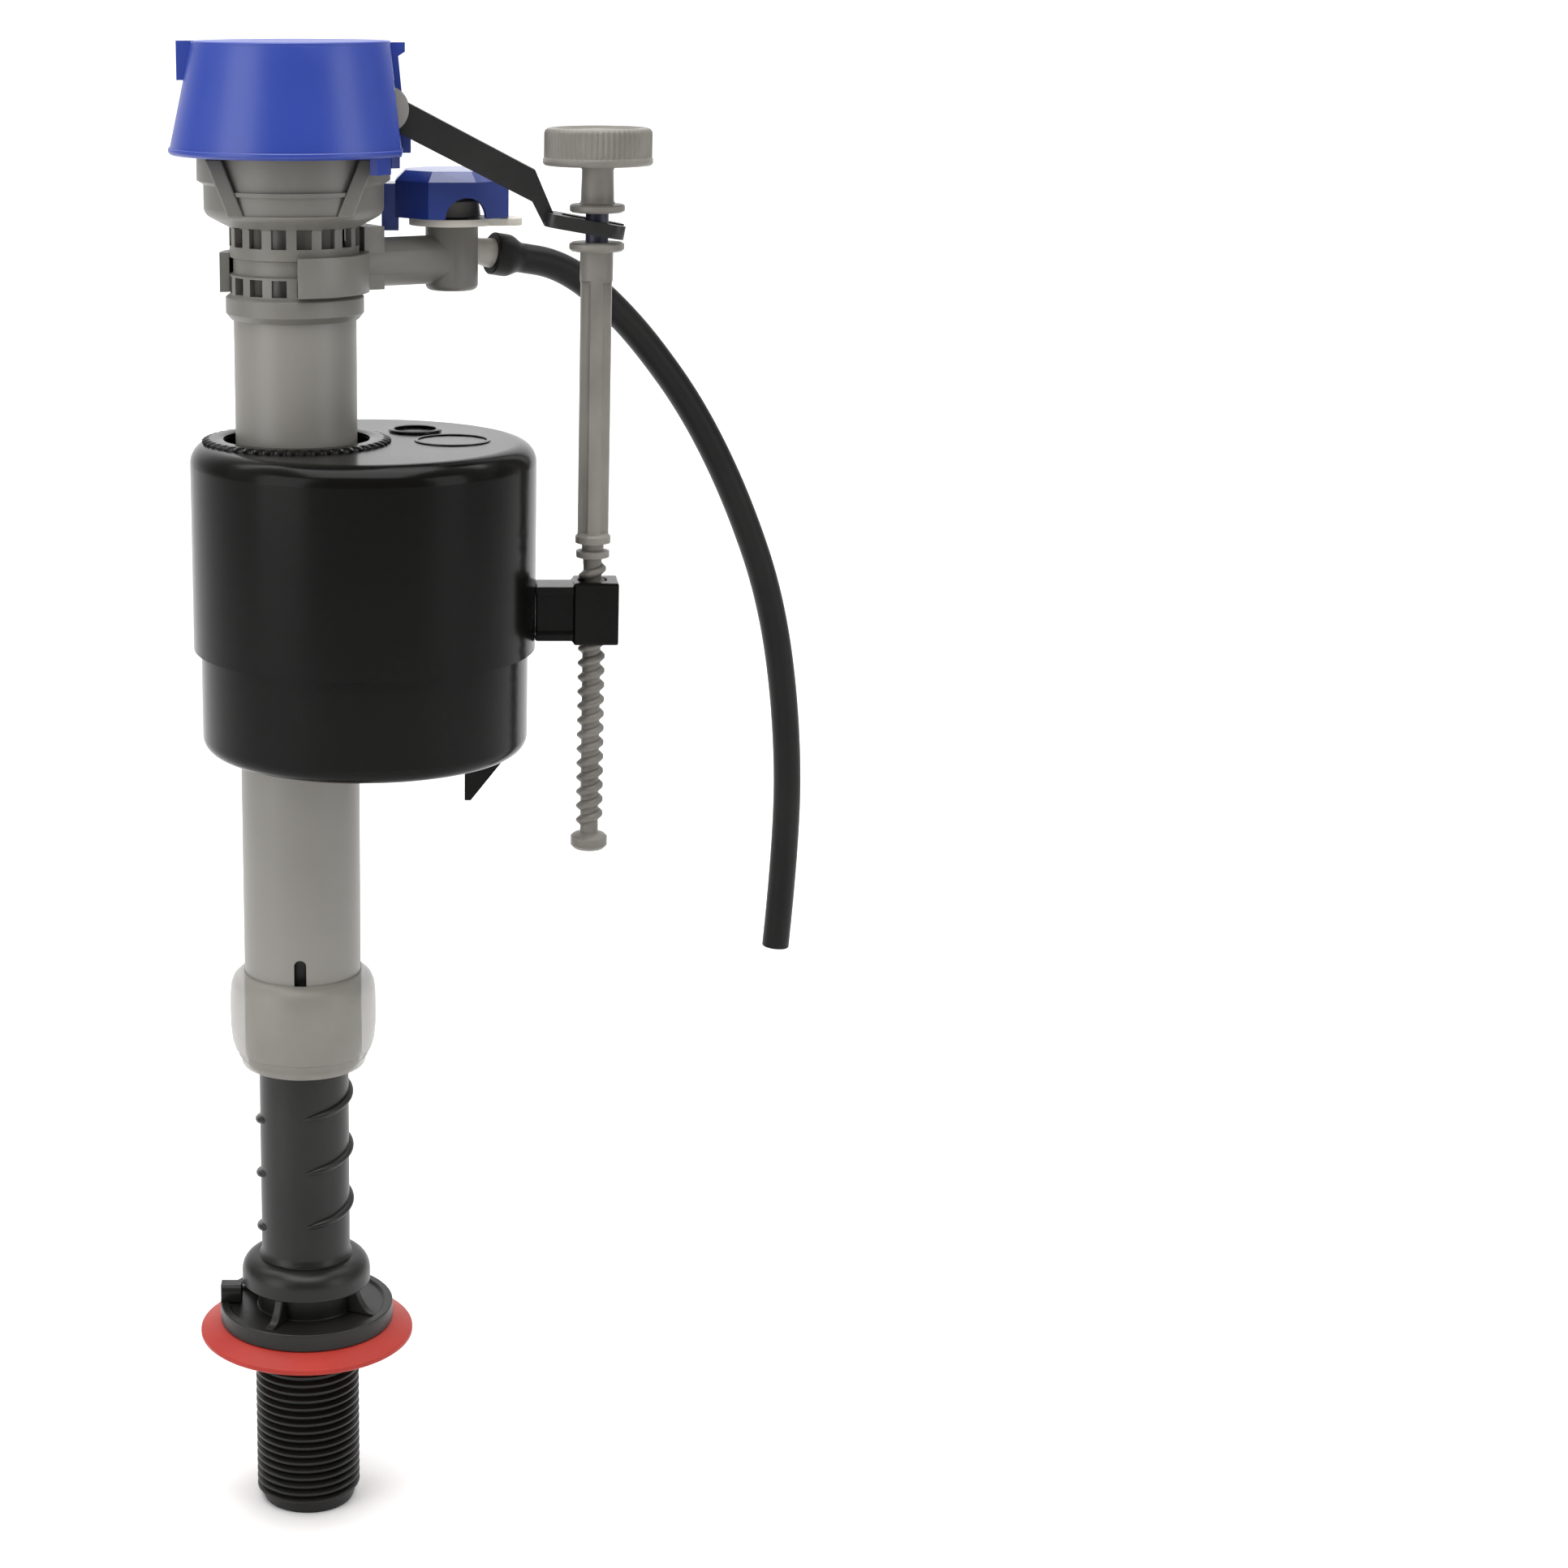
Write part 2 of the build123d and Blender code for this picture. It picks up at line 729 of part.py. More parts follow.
# Float lever: flat arm with a cranked link and a fork that straddles the screw's bush
swing = math.radians(lever_swing)
pad_drop = pivot_x * math.sin(swing) + 0.2
pad_bottom = pilot_nozzle_top + running_gap + pad_drop
inner_arm_bottom = pad_bottom + pad_height
bend_z = pivot_z - lever_bend_drop
fork_root_x = screw_x - fork_root * math.cos(math.radians(fork_slope))
fork_root_z = fork_z + fork_root * math.sin(math.radians(fork_slope))
fork_frame = Plane(
    origin=(screw_x, 0, fork_z),
    x_dir=(math.cos(math.radians(fork_slope)), 0, -math.sin(math.radians(fork_slope))),
    z_dir=(math.sin(math.radians(fork_slope)), 0, math.cos(math.radians(fork_slope))),
)
lever_outline = [
    (-pad_r - 0.4, inner_arm_bottom),
    (-pad_r - 0.4, inner_arm_bottom + inner_arm_depth),
    (pivot_x - 7.0, inner_arm_bottom + inner_arm_depth),
    (pivot_x, pivot_z + arm_rise),
    (lever_bend_x, bend_z),
    (fork_root_x + link_width / 2 - 0.2, fork_root_z + fork_thickness / 2),
    (fork_root_x + link_width, fork_root_z - fork_thickness / 2 - 0.3),
    (fork_root_x - 0.2, fork_root_z - fork_thickness / 2),
    (lever_bend_x - 0.6, bend_z - arm_depth + 0.3),
    (pivot_x, pivot_z + arm_rise - arm_depth - 0.4),
    (pivot_x - 7.0, inner_arm_bottom),
]
with BuildPart() as float_lever:
    extrude(xz_outline(lever_outline), amount=lever_width / 2, both=True)
    with BuildSketch(Plane.XZ) as lever_hub:
        with Locations((pivot_x, pivot_z)):
            Circle(pivot_hub_r - 0.6)
    extrude(amount=lever_width / 2, both=True)
    with BuildSketch(fork_frame) as fork_plan:
        with Locations(((fork_reach - fork_root) / 2, 0)):
            RectangleRounded(fork_reach + fork_root, fork_width, 2.4)
        with Locations((-fork_slot_root, 0)):
            Rectangle(
                fork_reach + fork_root,
                2 * (bush_r + running_gap),
                align=(Align.MIN, Align.CENTER),
                mode=Mode.SUBTRACT,
            )
    extrude(amount=fork_thickness / 2, both=True)
    with BuildSketch(Plane.XZ) as lever_bore:
        with Locations((pivot_x, pivot_z)):
            Circle(pivot_pin_r + shaft_fit)
    extrude(amount=lever_width, both=True, mode=Mode.SUBTRACT)
float_lever.part.label = "float_lever"
export_step(float_lever.part, "parts/float_lever.step")

# Lever pad: rubber button under the inner arm that closes the pilot hole
with BuildPart() as lever_pad:
    with BuildSketch(Plane.XY.offset(pad_bottom)):
        Circle(pad_r)
    extrude(amount=pad_height)
lever_pad.part.label = "lever_pad"
export_step(lever_pad.part, "parts/lever_pad.step")

# Adjusting screw: knob, plain rod with a flanged groove, coarse thread and end button
screw_axis = Axis((screw_x, 0, 0), (0, 0, 1))
screw_plane = Plane(origin=(screw_x, 0, 0), x_dir=(1, 0, 0), z_dir=(0, -1, 0))
screw_outline = [
    (0, knob_top),
    (knob_r, knob_top),
    (knob_r, knob_bottom),
    (screw_rod_r + 0.9, knob_bottom),
    (screw_rod_r, knob_bottom - 0.9),
    (screw_rod_r, upper_flange_top),
    (screw_flange_r, upper_flange_top),
    (screw_flange_r, screw_groove_top),
    (screw_core_r, screw_groove_top),
    (screw_core_r, screw_groove_bottom),
    (screw_flange_r, screw_groove_bottom),
    (screw_flange_r, lower_flange_bottom),
    (screw_rod_r, lower_flange_bottom),
    (screw_rod_r, screw_rings_top),
    (screw_rod_r + 0.5, screw_rings_top),
    (screw_rod_r + 0.5, screw_rings_top - 1.9),
    (screw_rod_r - 0.7, screw_rings_top - 2.0),
    (screw_rod_r - 0.7, screw_rings_top - 2.9),
    (screw_rod_r + 0.3, screw_rings_top - 3.0),
    (screw_rod_r + 0.3, screw_thread_top),
]
screw_outline += reversed(
    ring_teeth(
        screw_thread_r, screw_root_r, screw_thread_pitch, 1.0, screw_thread_bottom, screw_thread_top
    )
)
screw_outline += [
    (screw_root_r, screw_thread_bottom),
    (screw_end_r, screw_thread_bottom),
    (screw_end_r, screw_thread_bottom - screw_end_height),
    (0, screw_thread_bottom - screw_end_height),
]
with BuildPart() as adjusting_screw:
    with BuildSketch(screw_plane) as screw_profile:
        with BuildLine():
            Polyline(*screw_outline, close=True)
        make_face()
    revolve(axis=screw_axis)
adjusting_screw.part.label = "adjusting_screw"
export_step(adjusting_screw.part, "parts/adjusting_screw.step")

# Screw bush: snap-on sleeve in the groove of the screw, carried by the fork
with BuildPart() as screw_bush:
    with BuildSketch(Plane.XY.offset(screw_groove_bottom + seat_gap)):
        with Locations((screw_x, 0)):
            Circle(bush_r)
            Circle(screw_core_r + shaft_fit, mode=Mode.SUBTRACT)
    extrude(amount=bush_height)
screw_bush.part.label = "screw_bush"
export_step(screw_bush.part, "parts/screw_bush.step")

# Upper float shell: lid, outer wall and the tube that clears the riser
float_axis = Axis((float_x, 0, 0), (0, 0, 1))
float_plane = Plane(origin=(float_x, 0, 0), x_dir=(1, 0, 0), z_dir=(0, -1, 0))
tube_r = float_bore_r + float_bore_wall
tube_bottom = float_bottom + float_floor
float_side_x = float_x + float_r
screw_bore_r = screw_thread_r + running_gap / 2
block_x = screw_x - screw_bore_r - bracket_wall
arm_root_x = float_side_x - float_wall / 2
arm_tip_x = block_x + bracket_wall / 2
with BuildPart() as float_upper_shell:
    with BuildSketch(float_plane) as upper_profile:
        with BuildLine():
            FilletPolyline(
                (0, float_split),
                (float_r, float_split),
                (float_r, float_top),
                (0, float_top),
                radius=[0, 0, float_edge, 0],
                close=True,
            )
        make_face()
    revolve(axis=float_axis)
    with BuildSketch(float_plane) as upper_cavity:
        with BuildLine():
            FilletPolyline(
                (0, float_split),
                (float_r - float_wall, float_split),
                (float_r - float_wall, float_top - float_lid),
                (0, float_top - float_lid),
                radius=[0, 0, float_edge - float_wall, 0],
                close=True,
            )
        make_face()
    revolve(axis=float_axis, mode=Mode.SUBTRACT)
    with BuildSketch(Plane.XY.offset(tube_bottom)):
        Circle(tube_r)
    extrude(amount=float_top - float_lid / 2 - tube_bottom)
    with BuildSketch(Plane.XY.offset(tube_bottom - 1)):
        Circle(float_bore_r)
    extrude(amount=float_top - tube_bottom + 2, mode=Mode.SUBTRACT)
float_upper_shell.part.label = "float_upper_shell"
export_step(float_upper_shell.part, "parts/float_upper_shell.step")

# Float bracket: arm and block on the side of the float, riding on the thread of the screw
with BuildPart() as float_bracket:
    with BuildSketch(Plane.XY.offset(bracket_bottom)) as bracket_block:
        with Locations((block_x, 0)):
            Rectangle(
                screw_x + bracket_block_reach - block_x,
                bracket_block_width,
                align=(Align.MIN, Align.CENTER),
            )
    extrude(amount=bracket_height)
    with BuildSketch(Plane.XY.offset(bracket_bottom + bracket_rise)) as bracket_web:
        with Locations((arm_root_x, 0)):
            Rectangle(arm_tip_x - arm_root_x, bracket_arm_width, align=(Align.MIN, Align.CENTER))
    extrude(amount=bracket_height - 2 * bracket_rise)
    for low in (bracket_bottom + bracket_rise, bracket_top - bracket_rise - arm_flange):
        with BuildSketch(Plane.XY.offset(low)) as bracket_flange:
            with Locations((arm_root_x, 0)):
                Rectangle(
                    arm_tip_x - arm_root_x,
                    bracket_block_width - 0.8,
                    align=(Align.MIN, Align.CENTER),
                )
        extrude(amount=arm_flange)
    with BuildSketch(Plane.XY.offset(bracket_bottom - 1)) as bracket_bores:
        with Locations((screw_x, 0)):
            Circle(screw_bore_r)
        with Locations((float_x, 0)):
            Circle(float_r + seat_gap)
    extrude(amount=bracket_height + 2, mode=Mode.SUBTRACT)
float_bracket.part.label = "float_bracket"
export_step(float_bracket.part, "parts/float_bracket.step")

# Lower float shell: bottom cup welded inside the upper shell
spigot_r = float_r - float_wall - seat_gap
lower_inner_r = float_lower_r - float_wall
spigot_height = 3.0
fin_x = float_x + fin_inset
with BuildPart() as float_lower_shell:
    with BuildSketch(float_plane) as lower_profile:
        with BuildLine():
            FilletPolyline(
                (0, float_bottom),
                (float_lower_r, float_bottom),
                (float_lower_r, float_split),
                (spigot_r, float_split),
                (spigot_r, float_split + spigot_height),
                (lower_inner_r, float_split + spigot_height),
                (lower_inner_r, float_bottom + float_floor),
                (0, float_bottom + float_floor),
                radius=[0, 3.0, 0, 0, 0, 0, 1.4, 0],
                close=True,
            )
        make_face()
    revolve(axis=float_axis)
    with BuildSketch(Plane.XY.offset(float_bottom - 1)):
        Circle(float_bore_r)
    extrude(amount=float_floor + 2, mode=Mode.SUBTRACT)
float_lower_shell.part.label = "float_lower_shell"
export_step(float_lower_shell.part, "parts/float_lower_shell.step")

# Float fin: small pointed fin under the lower shell
with BuildPart() as float_fin:
    with BuildSketch(Plane.XZ) as fin:
        with BuildLine():
            Polyline(
                (fin_x, float_bottom),
                (fin_x + fin_length, float_bottom),
                (fin_x + fin_length, float_bottom - fin_heel),
                (fin_x + fin_toe, fin_bottom),
                (fin_x, fin_bottom),
                close=True,
            )
        make_face()
    extrude(amount=fin_thickness / 2, both=True)
float_fin.part.label = "float_fin"
export_step(float_fin.part, "parts/float_fin.step")

# Refill clamp: open clip round the waist of the body, its hollow arm and the chamber
chamber_bore_r = refill_stem_r + shaft_fit
wedge_reach = 3 * clip_r
nipple_azimuth_rad = math.radians(nipple_azimuth)
nipple_dip_rad = math.radians(nipple_dip)
nipple_dir = Vector(
    math.cos(nipple_azimuth_rad) * math.cos(nipple_dip_rad),
    math.sin(nipple_azimuth_rad) * math.cos(nipple_dip_rad),
    -math.sin(nipple_dip_rad),
)
nipple_side = Vector(math.sin(nipple_azimuth_rad), -math.cos(nipple_azimuth_rad), 0)
nipple_origin = Vector(chamber_x, chamber_y, nipple_z)
nipple_plane = Plane(origin=nipple_origin, x_dir=nipple_dir, z_dir=nipple_side)
nipple_axis = Axis(nipple_origin, nipple_dir)
arm_plane = Plane(
    origin=(0, 0, pipe_z),
    x_dir=(-math.sin(math.radians(arm_azimuth)), math.cos(math.radians(arm_azimuth)), 0),
    z_dir=(math.cos(math.radians(arm_azimuth)), math.sin(math.radians(arm_azimuth)), 0),
)
with BuildPart() as refill_clamp:
    with BuildSketch(Plane.XY.offset(clip_bottom)) as clip_ring:
        Circle(clip_r)
        with BuildLine():
            Polyline(
                (0, 0),
                (
                    wedge_reach * math.cos(math.radians(clip_to)),
                    wedge_reach * math.sin(math.radians(clip_to)),
                ),
                (
                    wedge_reach * math.cos(math.radians(clip_from)),
                    wedge_reach * math.sin(math.radians(clip_from)),
                ),
                close=True,
            )
        make_face(mode=Mode.SUBTRACT)
    extrude(amount=clip_height)
    with BuildSketch(arm_plane.offset(clip_bore_r + 0.6)) as arm_tube:
        Circle(pipe_r)
    extrude(amount=arm_length - clip_bore_r - 0.6)
    with BuildSketch(Plane.XY.offset(clip_bottom)) as arm_boss:
        with PolarLocations(clip_bore_r + 2.6, 1, start_angle=arm_azimuth):
            Rectangle(4.4, 8.6)
    extrude(amount=cup_bottom - running_gap - clip_bottom)
    with BuildSketch(Plane.XY.offset(chamber_bottom)) as chamber_outer:
        with Locations((chamber_x, chamber_y)):
            Circle(chamber_r)
    extrude(amount=chamber_top - chamber_bottom)
    fillet(
        refill_clamp.edges().filter_by(GeomType.CIRCLE).group_by(Axis.Z)[0], 1.2
    )
    with BuildSketch(Plane.XY.offset(chamber_bottom + 3.0)) as stem_bore:
        with Locations((chamber_x, chamber_y)):
            Circle(chamber_bore_r)
    extrude(amount=chamber_top, mode=Mode.SUBTRACT)
    with BuildSketch(arm_plane) as arm_bore:
        Circle(pipe_bore_r)
    extrude(amount=arm_length, mode=Mode.SUBTRACT)
    with BuildSketch(Plane.XY.offset(clip_bottom - 1)) as clip_bore:
        Circle(clip_bore_r)
    extrude(amount=cup_bottom - clip_bottom + 1, mode=Mode.SUBTRACT)
    with BuildSketch(Plane(origin=nipple_origin, z_dir=nipple_dir)) as nipple_socket:
        Circle(nipple_r + seat_gap)
    extrude(amount=chamber_r + 2, mode=Mode.SUBTRACT)
refill_clamp.part.label = "refill_clamp"
export_step(refill_clamp.part, "parts/refill_clamp.step")

# Refill plate: cream cover of the chamber, with a tongue that marks the dial's setting
plate_top = chamber_top + plate_thickness
with BuildPart() as refill_plate:
    with BuildSketch(Plane.XY.offset(chamber_top)) as plate_plan:
        with Locations((chamber_x, chamber_y)):
            Circle(plate_r)
        with Locations(((chamber_x + plate_tongue_x) / 2, chamber_y)):
            RectangleRounded(plate_tongue_x - chamber_x, plate_tongue_width, 3.0)
        with Locations((chamber_x, chamber_y)):
            Circle(chamber_bore_r, mode=Mode.SUBTRACT)
    extrude(amount=plate_thickness)
refill_plate.part.label = "refill_plate"
export_step(refill_plate.part, "parts/refill_plate.step")

# Refill stem: valve stem that the dial turns in the chamber, with a groove for its seal
chamber_axis = Axis((chamber_x, chamber_y, 0), (0, 0, 1))
chamber_plane = Plane(origin=(chamber_x, chamber_y, 0), x_dir=(1, 0, 0), z_dir=(0, -1, 0))
dial_bottom = plate_top + running_gap
dial_top = dial_bottom + dial_height
dial_ceiling = dial_top - 1.6
stem_bottom = pipe_z + pipe_bore_r + running_gap
stem_groove_bottom = stem_bottom + 1.2
stem_groove_r = refill_stem_r - 0.9
stem_outline = [
    (0, stem_bottom),
    (refill_stem_r, stem_bottom),
    (refill_stem_r, stem_groove_bottom),
    (stem_groove_r, stem_groove_bottom),
    (stem_groove_r, stem_groove_bottom + stem_seal_thickness),
    (refill_stem_r, stem_groove_bottom + stem_seal_thickness),
    (refill_stem_r, dial_bottom),
    (refill_stem_r + 2.6, dial_bottom),
    (refill_stem_r + 2.2, dial_bottom + 3.0),
    (refill_stem_r, dial_bottom + 4.2),
    (refill_stem_r, dial_ceiling),
    (0, dial_ceiling),
]
with BuildPart() as refill_stem:
    with BuildSketch(chamber_plane) as stem_profile:
        with BuildLine():
            Polyline(*stem_outline, close=True)
        make_face()
    revolve(axis=chamber_axis)
refill_stem.part.label = "refill_stem"
export_step(refill_stem.part, "parts/refill_stem.step")

# Stem seal: ring in the groove of the stem
with BuildPart() as stem_seal:
    with BuildSketch(Plane.XY.offset(stem_groove_bottom)):
        with Locations((chamber_x, chamber_y)):
            Circle(refill_stem_r)
            Circle(stem_groove_r, mode=Mode.SUBTRACT)
    extrude(amount=stem_seal_thickness)
stem_seal.part.label = "stem_seal"
export_step(stem_seal.part, "parts/stem_seal.step")

# Refill dial: eight-sided cap over the stem, with arched openings and one finger lobe
with BuildPart() as refill_dial:
    with BuildSketch(Plane.XY.offset(dial_bottom)):
        with Locations((chamber_x, chamber_y)):
            RegularPolygon(dial_r, 8, rotation=22.5)
    extrude(amount=dial_height)
    chamfer(refill_dial.faces().sort_by(Axis.Z)[-1].edges(), 2.0)
    with BuildSketch(Plane.XY.offset(dial_bottom - 2.6)) as finger_lobe:
        with Locations((chamber_x - dial_lobe_r, chamber_y)):
            Rectangle(3.4, dial_lobe_width, align=(Align.MIN, Align.CENTER))
    extrude(amount=dial_height)
    with BuildSketch(Plane.XY.offset(dial_bottom - 3)):
        with Locations((chamber_x, chamber_y)):
            RegularPolygon(dial_r - dial_wall, 8, rotation=22.5)
    extrude(amount=dial_ceiling - dial_bottom + 3 - 1.0, mode=Mode.SUBTRACT)
    with BuildSketch(Plane.XY.offset(dial_ceiling - 1.2)):
        with Locations((chamber_x, chamber_y)):
            Circle(dial_r - 3.6)
    extrude(amount=1.2, mode=Mode.SUBTRACT)
    for azimuth in (-75, 45, 120):
        arch_plane = Plane(
            origin=(chamber_x, chamber_y, dial_bottom),
            x_dir=(-math.sin(math.radians(azimuth)), math.cos(math.radians(azimuth)), 0),
            z_dir=(math.cos(math.radians(azimuth)), math.sin(math.radians(azimuth)), 0),
        )
        with BuildSketch(arch_plane) as arch:
            Circle(arch_width / 2)
        extrude(amount=dial_r + 1, mode=Mode.SUBTRACT)
refill_dial.part.label = "refill_dial"
export_step(refill_dial.part, "parts/refill_dial.step")

# Refill nipple: barbed outlet pressed into the side of the chamber
nipple_root = chamber_bore_r + 0.4
with BuildPart() as refill_nipple:
    with BuildSketch(nipple_plane) as nipple_profile:
        with BuildLine():
            Polyline(
                (nipple_root, nipple_bore_r),
                (nipple_root, nipple_r),
                (chamber_r + 0.6, nipple_r),
                (nipple_barb_at, nipple_barb_r),
                (nipple_end, nipple_tip_r),
                (nipple_end, nipple_bore_r),
                close=True,
            )
        make_face()
    revolve(axis=nipple_axis)
refill_nipple.part.label = "refill_nipple"
export_step(refill_nipple.part, "parts/refill_nipple.step")

# Refill hose: soft tube stretched over the nipple, hanging down in one vertical plane.
# Each route point is its distance out from the chamber and its drop below the nipple.
hose_starts = [
    (along * math.cos(nipple_dip_rad), along * math.sin(nipple_dip_rad))
    for along in (nipple_end, nipple_end + 6.6)
]
hose_route = hose_starts + [
    (29.0, 7.2),
    (36.5, 13.0),
    (45.5, 22.0),
    (57.0, 36.5),
    (67.8, 55.6),
    (77.2, 78.6),
    (82.0, 105.1),
    (83.2, 132.1),
    (80.9, 158.6),
]


def hose_point(out, drop):
    """A point of the hose's vertical plane, from its distance out and its drop."""
    return Vector(
        chamber_x + out * math.cos(nipple_azimuth_rad),
        chamber_y + out * math.sin(nipple_azimuth_rad),
        nipple_z - drop,
    )


def bend_radii(route):
    """The largest tangent arc at each inner point of a route, and the turn there."""
    radii = []
    for before, point, after in zip(route, route[1:], route[2:]):
        first = math.dist(before, point)
        second = math.dist(point, after)
        heading = math.atan2(point[1] - before[1], point[0] - before[0])
        turn = abs(math.atan2(after[1] - point[1], after[0] - point[0]) - heading)
        radii.append(0.45 * min(first, second) / math.tan(turn / 2))
    return radii


hose_radii = bend_radii(hose_route)
print("hose bend radii", [round(radius, 1) for radius in hose_radii])
mouth_wall_r = nipple_barb_r + seat_gap + hose_mouth_wall
with BuildPart() as refill_hose:
    with BuildLine() as hose_line:
        FilletPolyline(*[hose_point(*point) for point in hose_route], radius=hose_radii)
    with BuildSketch(Plane(origin=hose_line.line @ 0, z_dir=hose_line.line % 0)) as hose_section:
        Circle(hose_r)
    sweep(path=hose_line.line)
    with BuildSketch(nipple_plane) as mouth_profile:
        with BuildLine():
            Polyline(
                (hose_mouth_at, nipple_barb_r + seat_gap),
                (hose_mouth_at, mouth_wall_r),
                (nipple_barb_at + 1.0, mouth_wall_r),
                (nipple_end + 1.0, hose_r - 0.2),
                (nipple_end + 1.0, nipple_tip_r + seat_gap),
                (nipple_end, nipple_tip_r + seat_gap),
                (nipple_barb_at, nipple_barb_r + seat_gap),
                close=True,
            )
        make_face()
    revolve(axis=nipple_axis)
hose_length = sum(edge.length for edge in hose_line.edges()) + nipple_end - hose_mouth_at
print("hose length", round(hose_length, 1))
refill_hose.part.label = "refill_hose"
export_step(refill_hose.part, "parts/refill_hose.step")
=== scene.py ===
import math

import bmesh
import bpy
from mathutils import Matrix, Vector


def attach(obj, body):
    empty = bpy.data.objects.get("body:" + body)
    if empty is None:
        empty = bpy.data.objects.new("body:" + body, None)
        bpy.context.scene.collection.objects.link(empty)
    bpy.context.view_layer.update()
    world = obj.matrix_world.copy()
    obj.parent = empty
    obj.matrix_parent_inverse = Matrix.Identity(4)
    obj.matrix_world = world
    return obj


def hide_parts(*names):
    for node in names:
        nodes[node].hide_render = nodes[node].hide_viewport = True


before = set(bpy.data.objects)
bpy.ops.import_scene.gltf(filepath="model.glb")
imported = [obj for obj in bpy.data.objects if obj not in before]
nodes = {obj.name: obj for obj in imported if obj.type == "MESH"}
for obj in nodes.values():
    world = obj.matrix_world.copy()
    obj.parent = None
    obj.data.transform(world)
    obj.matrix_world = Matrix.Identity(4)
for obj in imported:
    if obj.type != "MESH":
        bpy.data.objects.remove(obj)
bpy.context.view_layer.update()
MM = 0.001

# ---------------------------------------------------------------- camera
# A long lens a little above the valve, looking down on it, with the valve kept left
# of the picture's middle by the lens shift.
camera = bpy.data.objects.new("camera", bpy.data.cameras.new("camera"))
bpy.context.scene.collection.objects.link(camera)
camera.location = (27.4 * MM, -600.0 * MM, 281.3 * MM)
camera.rotation_euler = (math.radians(90.0 - 14.9), 0.0, 0.0)
camera.data.sensor_width = 36.0
camera.data.lens = 69.54
camera.data.shift_x = 0.223
camera.data.clip_start = 0.01
camera.data.clip_end = 20.0
bpy.context.scene.camera = camera
bpy.context.scene.view_settings.view_transform = "Standard"

# ---------------------------------------------------------------- shank
# The threaded tail with its flange, curved webs and collar: one black glass-filled
# moulding, pushed through the tank floor and drawn down on its washer by a nut below.


def moulded(name, colour, other, rough=0.42, grain=0.0004, relief=0.06, patch=45.0, **more):
    """A moulded plastic: two close shades in soft patches, a fine grain and its own gloss."""
    made = bpy.data.materials.new(name)
    made.use_nodes = True
    tree = made.node_tree
    shader = tree.nodes["Principled BSDF"]
    where = tree.nodes.new("ShaderNodeTexCoord")
    patches = tree.nodes.new("ShaderNodeTexNoise")
    patches.inputs["Scale"].default_value = patch
    patches.inputs["Detail"].default_value = 5.0
    shades = tree.nodes.new("ShaderNodeValToRGB")
    shades.color_ramp.elements[0].position = 0.35
    shades.color_ramp.elements[1].position = 0.68
    shades.color_ramp.elements[0].color = (*colour, 1.0)
    shades.color_ramp.elements[1].color = (*other, 1.0)
    gloss = tree.nodes.new("ShaderNodeMapRange")
    gloss.inputs["To Min"].default_value = rough - 0.06
    gloss.inputs["To Max"].default_value = rough + 0.08
    fine = tree.nodes.new("ShaderNodeTexNoise")
    fine.inputs["Scale"].default_value = 0.6 / grain
    fine.inputs["Detail"].default_value = 3.0
    bump = tree.nodes.new("ShaderNodeBump")
    bump.inputs["Strength"].default_value = relief
    bump.inputs["Distance"].default_value = grain * 0.25
    tree.links.new(where.outputs["Object"], patches.inputs["Vector"])
    tree.links.new(where.outputs["Object"], fine.inputs["Vector"])
    tree.links.new(patches.outputs["Fac"], shades.inputs["Fac"])
    tree.links.new(shades.outputs["Color"], shader.inputs["Base Color"])
    tree.links.new(patches.outputs["Fac"], gloss.inputs["Value"])
    tree.links.new(gloss.outputs["Result"], shader.inputs["Roughness"])
    tree.links.new(fine.outputs["Fac"], bump.inputs["Height"])
    tree.links.new(bump.outputs["Normal"], shader.inputs["Normal"])
    for socket, value in more.items():
        shader.inputs[socket.replace("_", " ")].default_value = value
    return made


def skin(name, rings, loop=False, crease=35.0):
    """A mesh laid over rings of points in millimetres, each ring closed on itself."""
    size = len(rings[0])
    count = len(rings)
    mesh = bpy.data.meshes.new(name)
    faces = []
    for ring in range(count if loop else count - 1):
        low = ring * size
        high = (ring + 1) % count * size
        for step in range(size):
            turn = (step + 1) % size
            faces.append((low + step, low + turn, high + turn, high + step))
    if not loop:
        faces.append(tuple(range(size)))
        faces.append(tuple(range((count - 1) * size, count * size)))
    points = [[c * MM for c in point] for ring in rings for point in ring]
    mesh.from_pydata(points, [], faces)
    tidy = bmesh.new()
    tidy.from_mesh(mesh)
    bmesh.ops.remove_doubles(tidy, verts=tidy.verts, dist=0.002 * MM)
    bmesh.ops.recalc_face_normals(tidy, faces=tidy.faces)
    tidy.to_mesh(mesh)
    tidy.free()
    mesh.shade_smooth()
    mesh.set_sharp_from_angle(angle=math.radians(crease))
    made = bpy.data.objects.new(name, mesh)
    bpy.context.scene.collection.objects.link(made)
    return made


def finish_piece(piece, material, body, node):
    """The piece takes its material, rides on its body and stands for its CAD node."""
    piece.data.materials.append(material)
    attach(piece, body)
    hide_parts(node)


def lathe(name, outline, centre=(0.0, 0.0), steps=96):
    """A turned piece: a closed outline of (radius, height) carried round an upright axis."""
    rings = []
    for step in range(steps):
        turn = 2.0 * math.pi * step / steps
        x, y = math.cos(turn), math.sin(turn)
        rings.append([(centre[0] + r * x, centre[1] + r * y, z) for r, z in outline])
    return skin(name, rings, loop=True)


def soften(piece, width, steps=3):
    """Rounds the sharp edges of a piece, as a mould does."""
    edge = piece.modifiers.new("soft_edges", "BEVEL")
    edge.width = width * MM
    edge.segments = steps
    edge.limit_method = "ANGLE"
    edge.angle_limit = math.radians(40.0)


